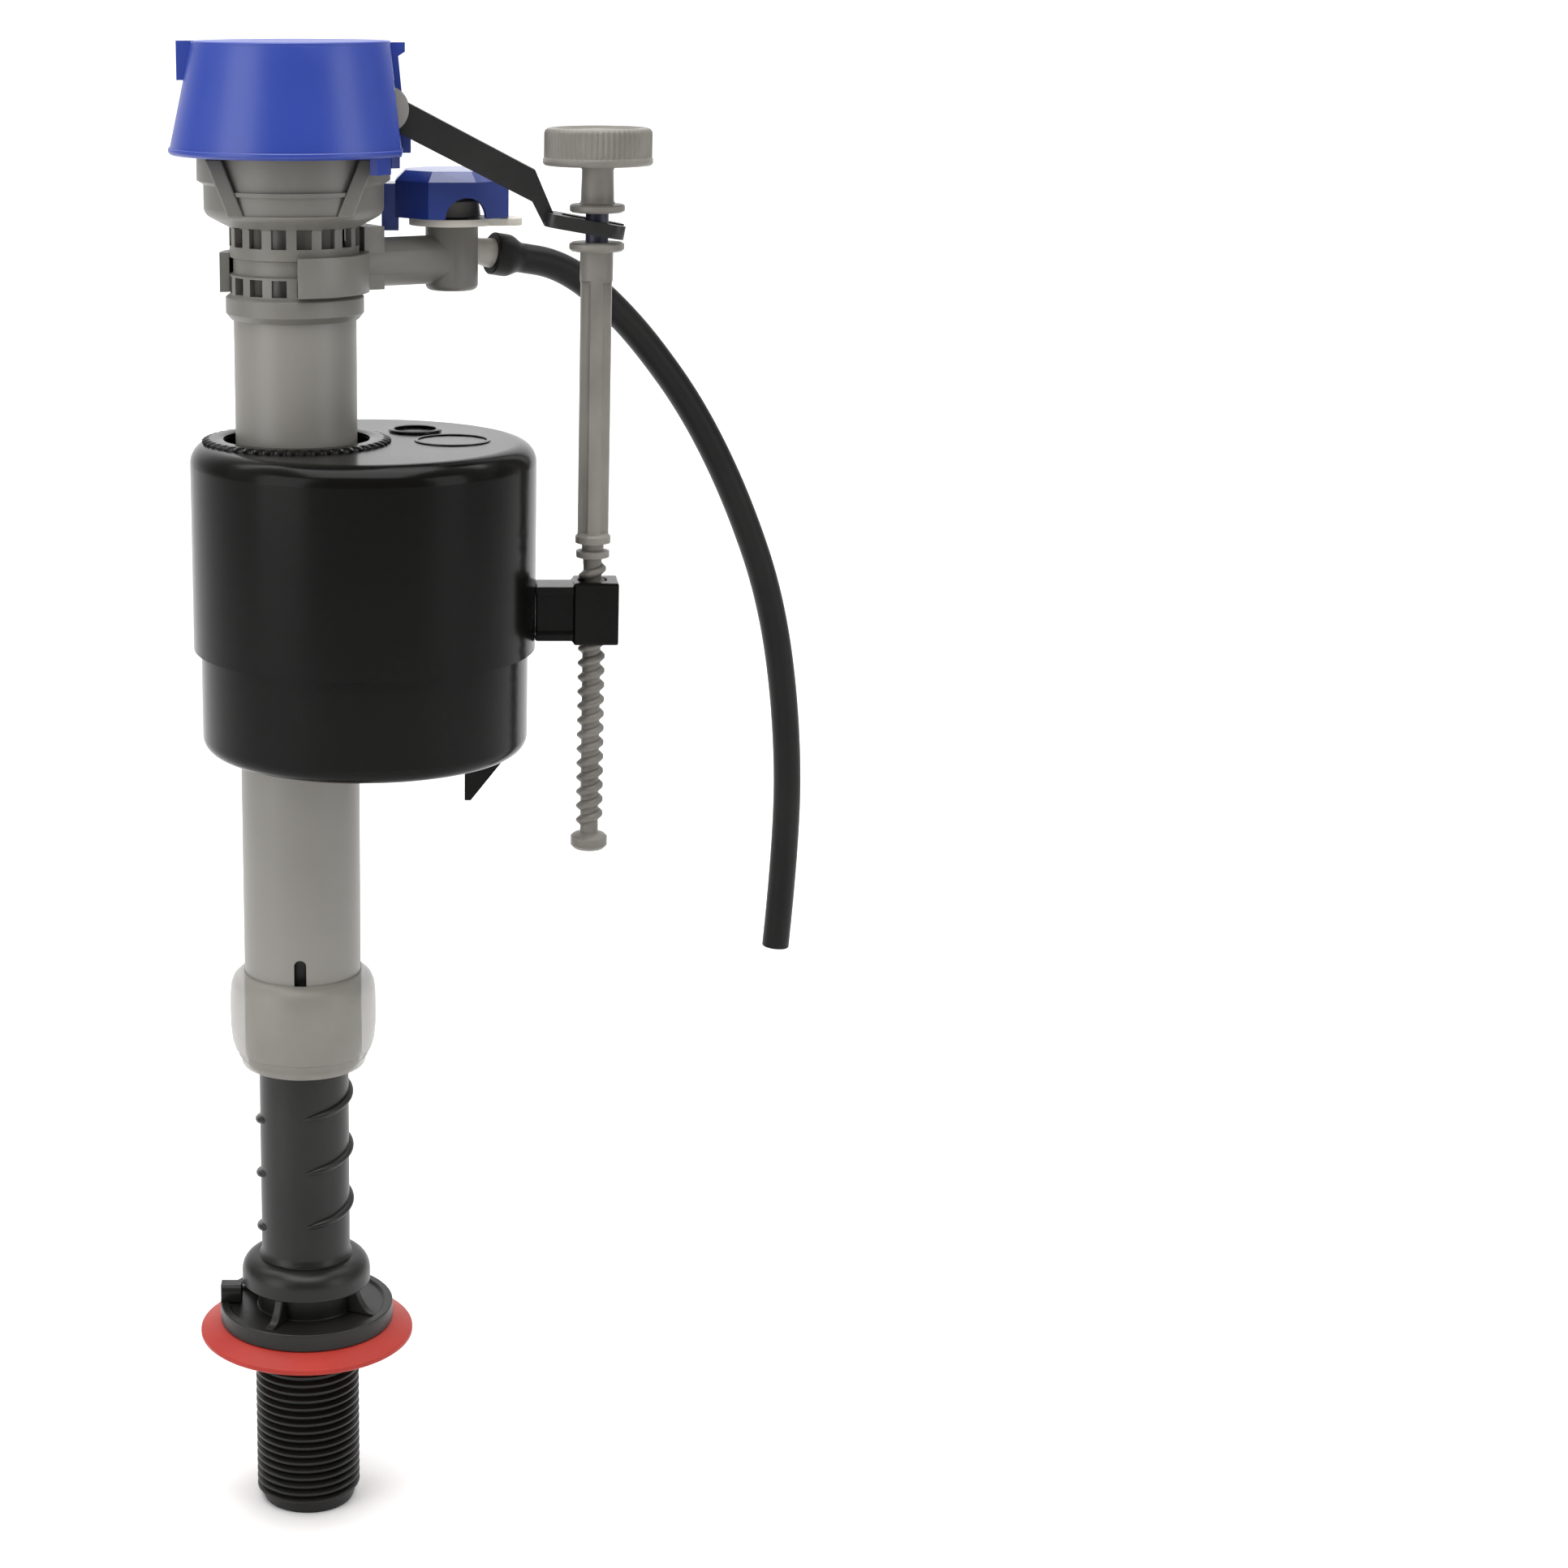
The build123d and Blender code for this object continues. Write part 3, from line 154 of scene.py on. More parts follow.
def screw_ridge(
    name, root_r, crest_r, pitch, crest, low, high, centre=(0.0, 0.0), steps=64, spread=0.47
):
    """A right-hand screw ridge with a flat crest, fading into the core at both ends."""
    rings = []
    total = int((high - low) / pitch * steps)
    for step in range(total + 1):
        turn = 2.0 * math.pi * step / steps
        x, y = math.cos(turn), math.sin(turn)
        mid = low + pitch * step / steps
        fade = min(1.0, step / steps * 2.0, (total - step) / steps * 2.0)
        tip = root_r + (crest_r - root_r) * max(fade, 0.02)
        foot = pitch * spread
        ring = [
            (root_r - 0.2, -foot),
            (root_r, -foot),
            (tip, -crest / 2),
            (tip, crest / 2),
            (root_r, foot),
            (root_r - 0.2, foot),
        ]
        rings.append([(centre[0] + r * x, centre[1] + r * y, mid + z) for r, z in ring])
    return skin(name, rings, crease=50.0)


tail_r = 11.11
tail_root_r = 10.05
tail_pitch = 1.814
tail_length = 38.4
bore_r = 6.5
flange_r = 18.45
flange_low, flange_high = 3.5, 7.3
hub_r = 10.375
collar_r = 13.65
flange_dish = 0.5
dish_floor = flange_high - flange_dish
collar_low, collar_high = 12.3, 18.8
collar_side = 2.4
collar_round = (3.4, 3.6)
collar_top_r = 9.6
round_steps = 8
tail_chamfer = (1.5, 1.2)
neck_taper = 0.6
flange_rim_in = flange_r - 1.6
shank_black = moulded(
    "shank_black",
    (0.0060, 0.0057, 0.0052),
    (0.0120, 0.0114, 0.0104),
    rough=0.36,
    grain=0.0007,
    relief=0.10,
    Specular_IOR_Level=0.28,
)
shank_outline = [
    (bore_r, -tail_length),
    (tail_r - tail_chamfer[0], -tail_length),
    (tail_root_r, -tail_length + tail_chamfer[1]),
    (tail_root_r, -2.0 * neck_taper),
    (tail_r, -neck_taper),
    (tail_r, flange_low),
    (flange_r, flange_low),
    (flange_r, flange_high),
    (flange_rim_in, flange_high),
    (flange_r - 2.2, dish_floor),
    (hub_r, dish_floor),
    (hub_r, collar_low),
    (collar_r, collar_low),
    (collar_r, collar_low + collar_side),
]
for step in range(1, round_steps + 1):
    turn = math.pi / 2 * step / round_steps
    inward = collar_round[0] * (1 - math.cos(turn))
    upward = collar_round[1] * math.sin(turn)
    shank_outline.append((collar_r - inward, collar_low + collar_side + upward))
shank_outline.append((collar_top_r, collar_high - 0.5))
shank_outline.append((collar_top_r, collar_high))
shank_outline.append((bore_r, collar_high))
shank = lathe("shank_moulding", shank_outline)
soften(shank, 0.35)
finish_piece(shank, shank_black, "base", "shank")
tail_thread = screw_ridge(
    "shank_thread",
    tail_root_r,
    tail_r,
    tail_pitch,
    0.45,
    -tail_length + 1.9,
    -1.1,
    steps=72,
)
finish_piece(tail_thread, shank_black, "base", "shank")
web_start = 334.0
web_half = 0.9
web_root_r = hub_r - 0.5
web_top = collar_low + 1.0
for number in range(4):
    turn = math.radians((web_start + 90.0 * number) % 360.0)
    side_line = [(web_root_r, dish_floor), (flange_r - 1.4, dish_floor)]
    for step in range(9):
        along = step / 8
        side_line.append(
            (
                flange_rim_in - (flange_r - collar_r + 0.2) * along**0.6,
                flange_high + (web_top - flange_high) * along**1.7,
            )
        )
    side_line.append((web_root_r, web_top))
    web_rings = []
    for across in (-web_half, web_half):
        web_rings.append(
            [
                (
                    r * math.cos(turn) - across * math.sin(turn),
                    r * math.sin(turn) + across * math.cos(turn),
                    z,
                )
                for r, z in side_line
            ]
        )
    web = skin(f"shank_web_{number}", web_rings)
    soften(web, 0.25)
    finish_piece(web, shank_black, "base", "shank")
key_out, key_in, key_half = -18.3, -13.8, 1.5
key_outline = [(key_out, -key_half), (key_in, -key_half), (key_in, key_half), (key_out, key_half)]
key_heights = (flange_high - 0.3, 9.0, 10.9, 11.1)
key = skin("shank_key", [[(x, y, z) for x, y in key_outline] for z in key_heights])
soften(key, 0.3)
finish_piece(key, shank_black, "base", "shank")

# ---------------------------------------------------------------- shank stem
# The upright stem, moulded in one with the shank. Sloping ribs wind three quarters of
# the way round it and catch in the riser, so that a twist sets the height.
stem_r = 9.375
stem_bore_r = 7.9
stem_top = 128.0
rib_pitch = 12.1
rib_height, rib_width = 1.0, 1.7
rib_first = 27.6
rib_sink = 0.3
rib_start, rib_arc = 272.0, 298.0
stem_outline = [
    (bore_r, collar_high),
    (stem_r + 0.45, collar_high),
    (stem_r + 0.12, collar_high + 0.5),
    (stem_r, collar_high + 1.4),
    (stem_r, stem_top - 0.6),
    (stem_r - 0.6, stem_top),
    (stem_bore_r, stem_top),
    (stem_bore_r, collar_high + 1.2),
]
stem = lathe("stem_tube", stem_outline)
finish_piece(stem, shank_black, "base", "shank_stem")
rib_steps = 60
for number in range(8):
    rib_rings = []
    first_step = 0 if number else rib_steps // 2
    for step in range(first_step, rib_steps + 1):
        along = step / rib_steps
        turn = math.radians(rib_start + rib_arc * along)
        mid = rib_first + rib_pitch * (number - 1 + rib_arc / 360.0 * along)
        rise = max(min(1.0, along * 14.0, (1.0 - along) * 24.0) ** 0.5, 0.03)
        ring = []
        for corner in range(9):
            sweep = math.pi * corner / 8
            out = stem_r + rib_height * rise * math.sin(sweep)
            up = -rib_width / 2 * rise * math.cos(sweep)
            ring.append((out * math.cos(turn), out * math.sin(turn), mid + up))
        inner = stem_r - rib_sink
        ring.append((inner * math.cos(turn), inner * math.sin(turn), mid + 0.02))
        rib_rings.append(ring)
    rib = skin(f"stem_rib_{number}", rib_rings)
    finish_piece(rib, shank_black, "base", "shank_stem")

# ---------------------------------------------------------------- sealing washer
# A soft orange-red rubber cone, dusty from its mould, squeezed between the flange and
# the floor of the tank.
washer_red = moulded(
    "washer_red",
    (0.29, 0.0120, 0.0065),
    (0.34, 0.0220, 0.0120),
    rough=0.46,
    grain=0.0008,
    relief=0.12,
    Specular_IOR_Level=0.3,
)


def dress(name, material, edge=0.0):
    """A CAD node that is shown as it is takes its material, and soft edges if they are given."""
    node = nodes[name]
    node.data.materials.clear()
    node.data.materials.append(material)
    if edge:
        weld = node.modifiers.new("joined_faces", "WELD")
        weld.merge_threshold = 0.01 * MM
        soften(node, edge, 2)


dress("cone_washer", washer_red)

# ---------------------------------------------------------------- seals and inlet tube
# Black rubber seals and the inner water tube, mostly hidden inside the riser.
seal_black = moulded("seal_black", (0.012, 0.012, 0.012), (0.02, 0.02, 0.019), rough=0.55)
body_grey = moulded(
    "body_grey",
    (0.122, 0.117, 0.103),
    (0.148, 0.142, 0.126),
    rough=0.42,
    grain=0.0009,
    relief=0.10,
)
dress("inlet_seal", seal_black)
dress("inlet_tube", body_grey)

# ---------------------------------------------------------------- riser and lock ring
# A drawn grey plastic tube, split into fingers at its foot. A cloudy natural-coloured
# ring slides down over the fingers and closes them on the ribs of the stem.
riser_grey = moulded(
    "riser_grey",
    (0.166, 0.159, 0.142),
    (0.186, 0.178, 0.160),
    rough=0.38,
    grain=0.0010,
    relief=0.05,
    patch=28.0,
)
ring_cloudy = moulded(
    "ring_cloudy",
    (0.215, 0.205, 0.180),
    (0.265, 0.253, 0.225),
    rough=0.35,
    grain=0.0012,
    relief=0.02,
    Alpha=0.62,
)
dress("riser_tube", riser_grey)
ring_bore_r = 12.2
ring_r = 15.2
ring_low, ring_mid, ring_high = 61.8, 73.5, 82.0
skirt_r = 13.0
lock_ring = lathe(
    "lock_ring_cloudy",
    [
        (ring_bore_r, ring_low),
        (skirt_r - 0.25, ring_low),
        (skirt_r - 0.05, ring_low + 0.3),
        (skirt_r, ring_low + 1.8),
        (skirt_r + 0.6, ring_low + 2.0),
        (skirt_r + 0.75, ring_low + 3.2),
        (ring_r - 0.9, ring_low + 3.5),
        (ring_r - 0.3, ring_mid - 6.1),
        (ring_r - 0.05, ring_mid - 3.5),
        (ring_r, ring_mid),
        (ring_r - 0.05, ring_mid + 3.5),
        (ring_r - 0.3, ring_high - 2.8),
        (ring_r - 0.9, ring_high - 1.4),
        (ring_bore_r + 1.0, ring_high - 0.4),
        (ring_bore_r + 0.3, ring_high),
        (ring_bore_r, ring_high),
    ],
)
finish_piece(lock_ring, ring_cloudy, "lock_ring", "lock_ring")

# ---------------------------------------------------------------- valve body
# Grey acetal body solvent-welded on the riser: a strainer cage of small windows under
# a cup, with slanting ribs on the cup and a flanged rim for the cap.


def add_detail(piece, material, body):
    """A raised detail takes its material and rides on its body, and its CAD node stays."""
    piece.data.materials.append(material)
    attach(piece, body)


dress("valve_body", body_grey)
cup_low, cup_high = 237.2, 247.9
cup_low_r, cup_swell = 18.5, 1.1
body_rib_half = 1.55
body_rib_depth = 2.6
body_rib_x, body_rib_slant = 10.4, 4.4
for number, (side_x, front) in enumerate(((-1, -1), (1, -1), (-1, 1), (1, 1))):
    rib_rings = []
    for along in (0.0, 0.2, 0.4, 0.6, 0.8, 1.0):
        z = cup_low + (cup_high - cup_low) * along
        x = side_x * (body_rib_x + body_rib_slant * along)
        reach = cup_low_r + cup_swell * min(1.0, along * 1.6)
        y = math.sqrt(reach**2 - x**2)
        deep = y - body_rib_depth
        x_in, x_out = x - body_rib_half, x + body_rib_half
        rib_rings.append(
            [
                (x_in, front * deep, z),
                (x_out, front * deep, z),
                (x_out, front * (y - abs(x_out - x) * 0.3), z),
                (x_in, front * (y - abs(x_in - x) * 0.3), z),
            ]
        )
    body_rib = skin(f"body_rib_{number}", rib_rings)
    soften(body_rib, 0.3)
    add_detail(body_rib, body_grey, "valve")

# ---------------------------------------------------------------- cap and its insides
# Glossy deep-blue acetal cap, turned on by a bayonet over the diaphragm, with a fine
# bead round its top and a thicker one round its skirt.
cap_blue = moulded(
    "cap_blue",
    (0.0120, 0.0330, 0.230),
    (0.0145, 0.0390, 0.262),
    rough=0.35,
    grain=0.0009,
    relief=0.05,
    patch=30.0,
)
dress("diaphragm", seal_black)
pin_steel = moulded("pin_steel", (0.42, 0.41, 0.40), (0.5, 0.49, 0.48), rough=0.36, Metallic=1.0)
dress("pilot_pin", pin_steel)
dress("cap", cap_blue, 0.35)
pivot_grey = moulded("pivot_grey", (0.22, 0.21, 0.185), (0.27, 0.255, 0.225), rough=0.45)
dress("lever_pivot", pivot_grey)
bead_steps, bead_corners = 160, 10
for name, bead_r, bead_z, flat_x, size in (
    ("cap_top_bead", 19.35, 269.25, 18.75, 0.40),
    ("cap_skirt_bead", 24.0, 249.1, 21.05, 0.55),
):
    bead_rings = []
    for step in range(bead_steps):
        turn = 2.0 * math.pi * step / bead_steps
        ring = []
        for corner in range(bead_corners):
            sweep = 2.0 * math.pi * corner / bead_corners
            out = bead_r + 0.5 * size * math.cos(sweep)
            x = min(out * math.cos(turn), flat_x + 0.5 * size * math.cos(sweep))
            ring.append((x, out * math.sin(turn), bead_z + size * math.sin(sweep)))
        bead_rings.append(ring)
    bead = skin(name, bead_rings, loop=True, crease=60.0)
    add_detail(bead, cap_blue, "valve")

# ---------------------------------------------------------------- float lever
# Black acetal lever: a long arm down to a forked end that carries the screw's bush,
# with a rubber pad on its short arm over the pilot hole.
lever_black = moulded(
    "lever_black",
    (0.0045, 0.0044, 0.0042),
    (0.0115, 0.0110, 0.0104),
    rough=0.38,
    grain=0.0012,
    relief=0.22,
    patch=60.0,
    Specular_IOR_Level=0.4,
)
dress("float_lever", lever_black, 0.4)
dress("lever_pad", seal_black)

# ---------------------------------------------------------------- level screw and bush
# A cloudy natural acetal screw: ribbed thumb knob, two snap flanges round a dark navy bush whose
# colour is painted shade on the neck between them, a long fluted rod and a coarse rolled thread
# with a round end button.
screw_x = 59.2
knob_low, knob_high = 246.2, 253.3
knob_r = 10.7
screw_cloudy = moulded(
    "screw_cloudy",
    (0.175, 0.164, 0.146),
    (0.250, 0.235, 0.212),
    rough=0.36,
    grain=0.0008,
    relief=0.08,
    patch=70.0,
    Transmission_Weight=0.35,
    IOR=1.35,
)
knob_points = 300
knob_ridges = 60
knob_foot_r = 3.0
dish_r = 8.6
dish_low = knob_high - 0.5


def knob_ring(radius, height, ridge=0.0):
    """A ring of the knob in millimetres, with grip ridges as deep as is asked."""
    ring = []
    for step in range(knob_points):
        turn = 2.0 * math.pi * step / knob_points
        out = radius - ridge * (0.5 - 0.5 * math.cos(knob_ridges * turn))
        ring.append((screw_x + out * math.cos(turn), out * math.sin(turn), height))
    return ring


knob_rings = [knob_ring(knob_foot_r, knob_low)]
for inset, height, ridge in (
    (0.35, knob_low, 0.0),
    (0.0, knob_low + 0.35, 0.0),
    (0.0, knob_low + 1.25, 0.0),
    (0.18, knob_low + 1.4, 0.0),
    (0.18, knob_low + 1.7, 0.42),
    (0.18, knob_high - 1.0, 0.42),
    (0.30, knob_high - 0.55, 0.32),
    (0.75, knob_high - 0.12, 0.0),
    (1.15, knob_high, 0.0),
):
    knob_rings.append(knob_ring(knob_r - inset, height, ridge))
knob_rings.append(knob_ring(dish_r, knob_high))
knob_rings.append(knob_ring(dish_r - 0.4, dish_low))
knob_rings.append(knob_ring(knob_foot_r + 0.4, dish_low))
knob_rings.append(knob_ring(knob_foot_r, dish_low + 0.2))
knob = skin("screw_knob", knob_rings, crease=55.0)
finish_piece(knob, screw_cloudy, "screw", "adjusting_screw")
rod_r = 3.25
core_r = 1.45
snap_flange_r = 5.4
groove_low, groove_high = 231.45, 237.05
neck = lathe(
    "screw_neck",
    [
        (0.0, groove_low - 0.6),
        (core_r, groove_low - 0.6),
        (core_r, groove_high + 0.2),
        (snap_flange_r - 0.5, groove_high + 0.1),
        (snap_flange_r, groove_high + 0.45),
        (snap_flange_r, groove_high + 1.35),
        (snap_flange_r - 0.3, groove_high + 1.65),
        (rod_r + 0.3, groove_high + 1.8),
        (rod_r, groove_high + 2.3),
        (rod_r - 0.15, knob_low - 0.9),
        (rod_r + 0.5, knob_low + 0.1),
        (0.0, knob_low + 0.1),
    ],
    centre=(screw_x, 0.0),
    steps=64,
)
finish_piece(neck, screw_cloudy, "screw", "adjusting_screw")
rod_bottom = 172.8
rod_flat_r = rod_r - 0.15
flute_depth = 0.75
upper_ring_r, lower_ring_r = 3.55, 3.35
level_root_r = 1.85
level_crest_r = 2.75
level_pitch = 3.0
button_r = 3.75
button_low, button_high = 108.2, 111.6
rod_points = 48
rod_rings = []
for radius, height, flute in (
    (1.4, groove_low, 0.0),
    (snap_flange_r - 0.5, groove_low - 0.05, 0.0),
    (snap_flange_r, groove_low - 0.35, 0.0),
    (snap_flange_r, groove_low - 1.3, 0.0),
    (snap_flange_r - 0.4, groove_low - 1.75, 0.0),
    (rod_r, groove_low - 2.0, 0.0),
    (rod_r, groove_low - 7.4, 0.0),
    (rod_flat_r, groove_low - 7.9, flute_depth),
    (rod_flat_r, rod_bottom + 1.2, flute_depth),
    (rod_r - 0.1, rod_bottom + 0.8, 0.0),
    (upper_ring_r, rod_bottom + 0.4, 0.0),
    (upper_ring_r, rod_bottom - 0.9, 0.0),
    (level_root_r + 0.35, rod_bottom - 1.3, 0.0),
    (level_root_r + 0.35, rod_bottom - 2.3, 0.0),
    (lower_ring_r, rod_bottom - 2.6, 0.0),
    (lower_ring_r, rod_bottom - 3.8, 0.0),
    (level_root_r, rod_bottom - 4.3, 0.0),
    (level_root_r, button_high, 0.0),
    (button_r - 0.55, button_high - 0.4, 0.0),
    (button_r, button_high - 0.9, 0.0),
    (button_r, button_low + 0.7, 0.0),
    (button_r - 0.65, button_low, 0.0),
):
    ring = []
    for step in range(rod_points):
        turn = 2.0 * math.pi * step / rod_points
        dent = flute * max(0.0, math.cos(4 * turn + math.pi)) ** 0.7
        out = radius - dent
        ring.append((screw_x + out * math.cos(turn), out * math.sin(turn), height))
    rod_rings.append(ring)
rod = skin("screw_rod", rod_rings, crease=30.0)
finish_piece(rod, screw_cloudy, "screw", "adjusting_screw")
level_thread = screw_ridge(
    "screw_thread",
    level_root_r,
    level_crest_r,
    level_pitch,
    0.5,
    button_high + 1.0,
    rod_bottom - 4.6,
    centre=(screw_x, 0.0),
    steps=40,
    spread=0.36,
)
finish_piece(level_thread, screw_cloudy, "screw", "adjusting_screw")
# The bush's dark navy is painted shade, standing in for the neck in shadow between the flanges.
bush_navy_shade = moulded("bush_navy_shade", (0.006, 0.008, 0.030), (0.010, 0.013, 0.045), rough=0.4)
dress("screw_bush", bush_navy_shade)

# ---------------------------------------------------------------- float
# Two glossy black shells welded round their middle. The lid has a toothed ring round
# the riser's bore, a plugged vent and a shallow gate dimple.
float_black = moulded(
    "float_black",
    (0.0020, 0.0019, 0.0017),
    (0.0042, 0.0040, 0.0036),
    rough=0.19,
    grain=0.0012,
    relief=0.05,
    patch=24.0,
    Specular_IOR_Level=0.11,
)
dress("float_upper_shell", float_black)
dress("float_lower_shell", float_black)
dress("float_bracket", float_black, 0.4)
dress("float_fin", float_black, 0.2)
lid_z = 192.3
lid_sink = lid_z - 0.3
tooth_points = 288
lid_teeth = 48
tooth_rings = []
for radius, rise, tooth in (
    (14.6, -0.3, 0.0),
    (14.6, 0.55, 0.0),
    (15.1, 0.75, 0.0),
    (17.3, 0.75, 0.0),
    (17.6, 0.70, 1.0),
    (18.4, 0.35, 1.0),
    (18.7, -0.3, 0.0),
):
    ring = []
    for step in range(tooth_points):
        turn = 2.0 * math.pi * step / tooth_points
        out = radius + tooth * 0.5 * math.cos(lid_teeth * turn)
        ring.append((out * math.cos(turn), out * math.sin(turn), lid_z + rise))
    tooth_rings.append(ring)
lid_ring = skin("float_lid_ring", tooth_rings, loop=True)
lid_vent = lathe(
    "float_lid_vent",
    [(4.3, lid_sink), (4.3, lid_z + 0.5), (4.7, lid_z + 0.6), (5.3, lid_z + 0.4), (5.5, lid_sink)],
    centre=(23.5, 13.8),
    steps=64,
)
lid_dimple = lathe(
    "float_lid_dimple",
    [(6.9, lid_sink), (6.9, lid_z + 0.22), (7.25, lid_z + 0.3), (7.6, lid_z + 0.2), (7.7, lid_sink)],
    centre=(31.0, 0.5),
    steps=64,
)
for piece in (lid_ring, lid_vent, lid_dimple):
    add_detail(piece, float_black, "float")

# ---------------------------------------------------------------- refill side
# A grey clip snapped round the waist of the body, with a hollow arm to a small upright
# chamber. A cream plate and a blue dial on top set how much water goes to the hose.
plate_cream = moulded("plate_cream", (0.52, 0.49, 0.43), (0.60, 0.565, 0.50), rough=0.40)
nipple_pale = moulded("nipple_pale", (0.34, 0.325, 0.29), (0.40, 0.385, 0.345), rough=0.40)
dress("refill_clamp", body_grey, 0.35)
dress("refill_plate", plate_cream, 0.3)
dress("refill_nipple", nipple_pale)
dress("refill_stem", body_grey)
dress("stem_seal", seal_black)
# Same blue plastic as the cap, made darker: painted shade for the shadow the dial sits in.
dial_shaded_blue = moulded(
    "dial_shaded_blue",
    (0.0095, 0.0260, 0.160),
    (0.0130, 0.0340, 0.210),
    rough=0.18,
    grain=0.0009,
    relief=0.06,
)
dress("refill_dial", dial_shaded_blue, 0.5)

# ---------------------------------------------------------------- refill hose
# Soft black PVC hose, extruded, pushed over the barbed nipple so that its mouth is
# stretched, and hanging free with a square-cut open end.
hose_r = 3.0
hose_bore_r = 2.0
mouth_r = 4.25
mouth_inner_r = 3.45
mouth_grip = 3.2
mouth_taper = 3.4
mouth_lip = 0.25
end_lip = 0.2
open_bore_depth = 14.0
chamber_x, chamber_y, nipple_z = 30.9, 16.0, 229.1
nipple_azimuth = math.radians(25.0)
hose_route = [
    (15.757, 2.778),
    (22.257, 3.924),
    (29.0, 7.2),
    (36.5, 13.0),
    (45.5, 22.0),
    (57.0, 36.5),
    (67.8, 55.6),
    (77.2, 78.6),
    (82.0, 105.1),
    (83.2, 132.1),
    (80.9, 158.6),
]
mouth_along = 9.0
nipple_dip = math.radians(10.0)
hose_start = (mouth_along * math.cos(nipple_dip), mouth_along * math.sin(nipple_dip))
line_data = bpy.data.curves.new("hose_line", "CURVE")
line_data.dimensions = "3D"
line_data.resolution_u = 24
spline = line_data.splines.new("NURBS")
line_points = [hose_start] + hose_route
spline.points.add(len(line_points) - 1)
for number, (out, drop) in enumerate(line_points):
    spline.points[number].co = (
        (chamber_x + out * math.cos(nipple_azimuth)) * MM,
        (chamber_y + out * math.sin(nipple_azimuth)) * MM,
        (nipple_z - drop) * MM,
        1.0,
    )
spline.order_u = 3
spline.use_endpoint_u = True
line_object = bpy.data.objects.new("hose_line", line_data)
line_mesh = bpy.data.meshes.new_from_object(line_object)
hose_path = [v.co.copy() for v in line_mesh.vertices]
bpy.data.objects.remove(line_object)
side = Vector((-math.sin(nipple_azimuth), math.cos(nipple_azimuth), 0.0))
hose_sides = 40


def hose_ring(place, heading, radius):
    """A ring of the hose in millimetres, square to its heading."""
    up = heading.cross(side).normalized()
    ring = []
    for step in range(hose_sides):
        turn = 2.0 * math.pi * step / hose_sides
        point = place / MM + radius * (math.cos(turn) * side + math.sin(turn) * up)
        ring.append(tuple(point))
    return ring


headings = []
for number in range(len(hose_path)):
    before = hose_path[max(number - 1, 0)]
    after = hose_path[min(number + 1, len(hose_path) - 1)]
    headings.append((after - before).normalized())
hose_rings = []
gone = 0.0
for number, place in enumerate(hose_path):
    if number:
        gone += (place - hose_path[number - 1]).length / MM
    stretch = min(max((gone - mouth_grip) / mouth_taper, 0.0), 1.0)
    stretch = stretch * stretch * (3.0 - 2.0 * stretch)
    radius = mouth_r + (hose_r - mouth_r) * stretch
    if number == 0:
        hose_rings.append(hose_ring(place, headings[0], mouth_inner_r))
        hose_rings.append(hose_ring(place, headings[0], mouth_r - mouth_lip))
        hose_rings.append(hose_ring(place + headings[0] * mouth_lip * MM, headings[0], mouth_r))
    elif gone >= 2.4 * mouth_lip:
        hose_rings.append(hose_ring(place, headings[number], radius))
end_place, end_heading = hose_path[-1], headings[-1]
bore_floor = end_place - end_heading * open_bore_depth * MM
hose_rings[-1] = hose_ring(end_place - end_heading * end_lip * MM, end_heading, hose_r)
hose_rings.append(hose_ring(end_place, end_heading, hose_r - end_lip))
hose_rings.append(hose_ring(end_place, end_heading, hose_bore_r))
hose_rings.append(hose_ring(bore_floor, end_heading, hose_bore_r))
hose = skin("refill_hose_tube", hose_rings)
hose_black = moulded(
    "hose_black",
    (0.0032, 0.0030, 0.0028),
    (0.0075, 0.0070, 0.0066),
    rough=0.42,
    grain=0.0006,
    relief=0.12,
    Specular_IOR_Level=0.18,
)
finish_piece(hose, hose_black, "refill", "refill_hose")

# ---------------------------------------------------------------- floor and light
# A plain pale floor that turns up into a wall, under one large soft light overhead. A
# weaker one stands at each side, one lights the wall, and the world is brightest behind.
floor_z = -tail_length
floor_half = 15000.0
bend_at = 1200.0
bend_r = 900.0
wall_top = 3500.0
bend_steps = 12
floor_rings = []
for x in (-floor_half, floor_half):
    run = [(x, -floor_half, floor_z), (x, bend_at, floor_z)]
    for step in range(1, bend_steps):
        turn = math.pi / 2 * step / bend_steps
        y = bend_at + bend_r * math.sin(turn)
        run.append((x, y, floor_z + bend_r * (1 - math.cos(turn))))
    run.append((x, bend_at + bend_r, wall_top))
    floor_rings.append(run)
floor_mesh = bpy.data.meshes.new("floor")
half = len(floor_rings[0])
floor_mesh.from_pydata(
    [[c * MM for c in p] for run in floor_rings for p in run],
    [],
    [(k, k + 1, half + k + 1, half + k) for k in range(half - 1)],
)
floor_mesh.shade_smooth()
floor = bpy.data.objects.new("floor", floor_mesh)
bpy.context.scene.collection.objects.link(floor)
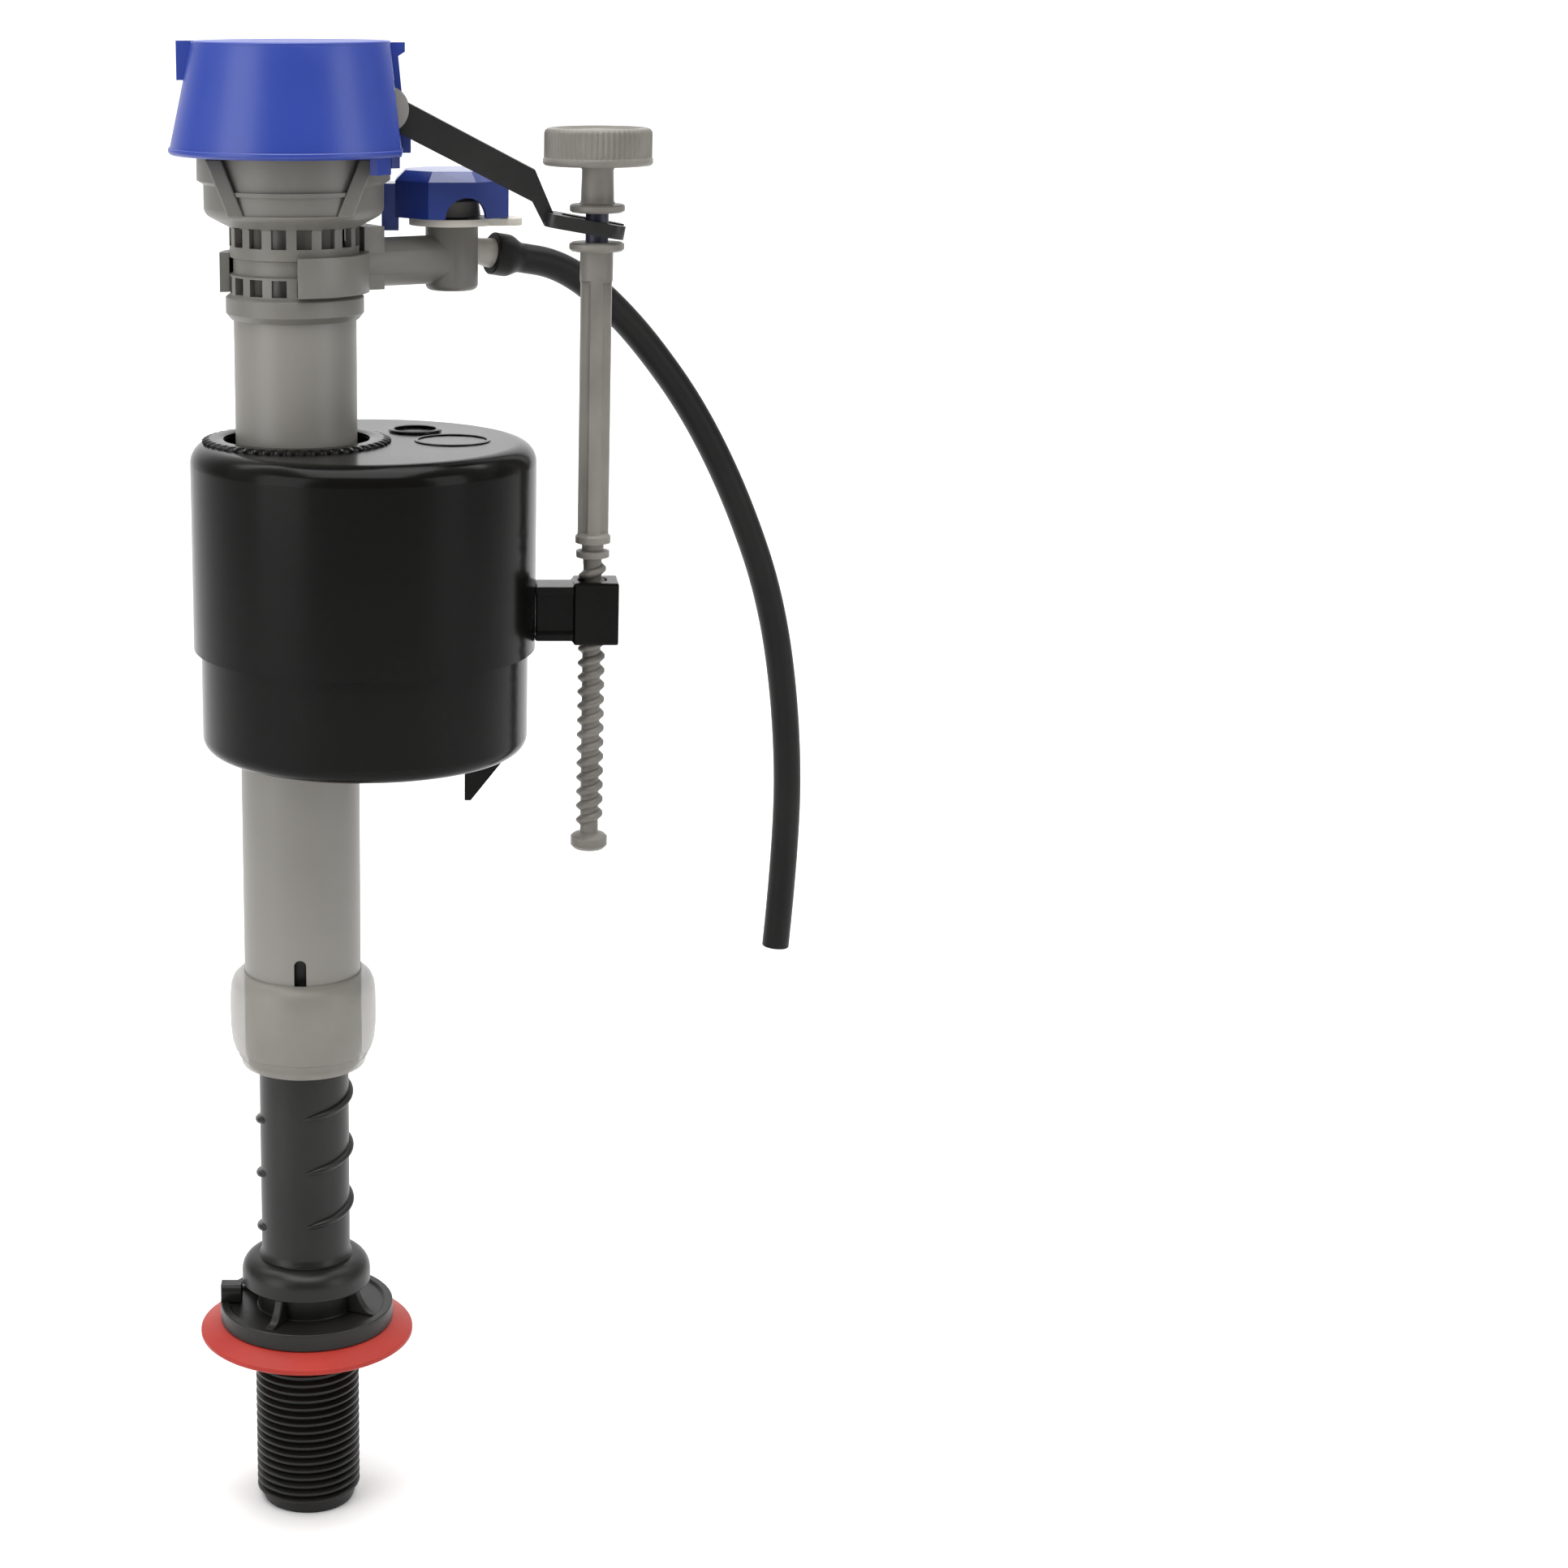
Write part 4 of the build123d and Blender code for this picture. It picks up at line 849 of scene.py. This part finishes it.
floor_white = moulded("floor_white", (0.80, 0.80, 0.80), (0.83, 0.83, 0.83), rough=0.7)
floor_mesh.materials.append(floor_white)


def soft_light(name, place, target, width, height, power):
    """A large rectangular lamp looking at the valve."""
    lamp = bpy.data.lights.new(name, "AREA")
    lamp.shape = "RECTANGLE"
    lamp.size = width
    lamp.size_y = height
    lamp.energy = power
    made = bpy.data.objects.new(name, lamp)
    bpy.context.scene.collection.objects.link(made)
    made.location = place
    aim = Vector(target) - Vector(place)
    made.rotation_euler = aim.to_track_quat("-Z", "Y").to_euler()
    return made


middle = (0.02, 0.0, 0.12)
overhead = soft_light("overhead", (0.0, -0.25, 1.25), middle, 1.1, 1.1, 20.0)
left_fill = soft_light("left_fill", (-1.1, -0.8, 0.5), middle, 0.9, 1.2, 10.0)
right_fill = soft_light("right_fill", (1.2, -0.7, 0.5), middle, 0.6, 1.0, 5.0)
world = bpy.data.worlds.new("studio")
world.use_nodes = True
sky = world.node_tree
sky_where = sky.nodes.new("ShaderNodeTexCoord")
sky_parts = sky.nodes.new("ShaderNodeSeparateXYZ")
sky_shades = sky.nodes.new("ShaderNodeValToRGB")
sky_shades.color_ramp.elements[0].position = 0.30
sky_shades.color_ramp.elements[0].color = (0.30, 0.30, 0.30, 1.0)
sky_shades.color_ramp.elements[1].position = 0.62
sky_shades.color_ramp.elements[1].color = (1.0, 1.0, 1.0, 1.0)
sky_range = sky.nodes.new("ShaderNodeMapRange")
sky_range.inputs["From Min"].default_value = -1.0
sky.links.new(sky_where.outputs["Generated"], sky_parts.inputs["Vector"])
sky.links.new(sky_parts.outputs["Y"], sky_range.inputs["Value"])
sky.links.new(sky_range.outputs["Result"], sky_shades.inputs["Fac"])
sky.links.new(sky_shades.outputs["Color"], sky.nodes["Background"].inputs["Color"])
sky.nodes["Background"].inputs["Strength"].default_value = 0.9
bpy.context.scene.world = world
backdrop_light = soft_light("backdrop_light", (0.0, 0.7, 1.7), (0.0, 1.9, 0.3), 3.5, 0.9, 40.0)
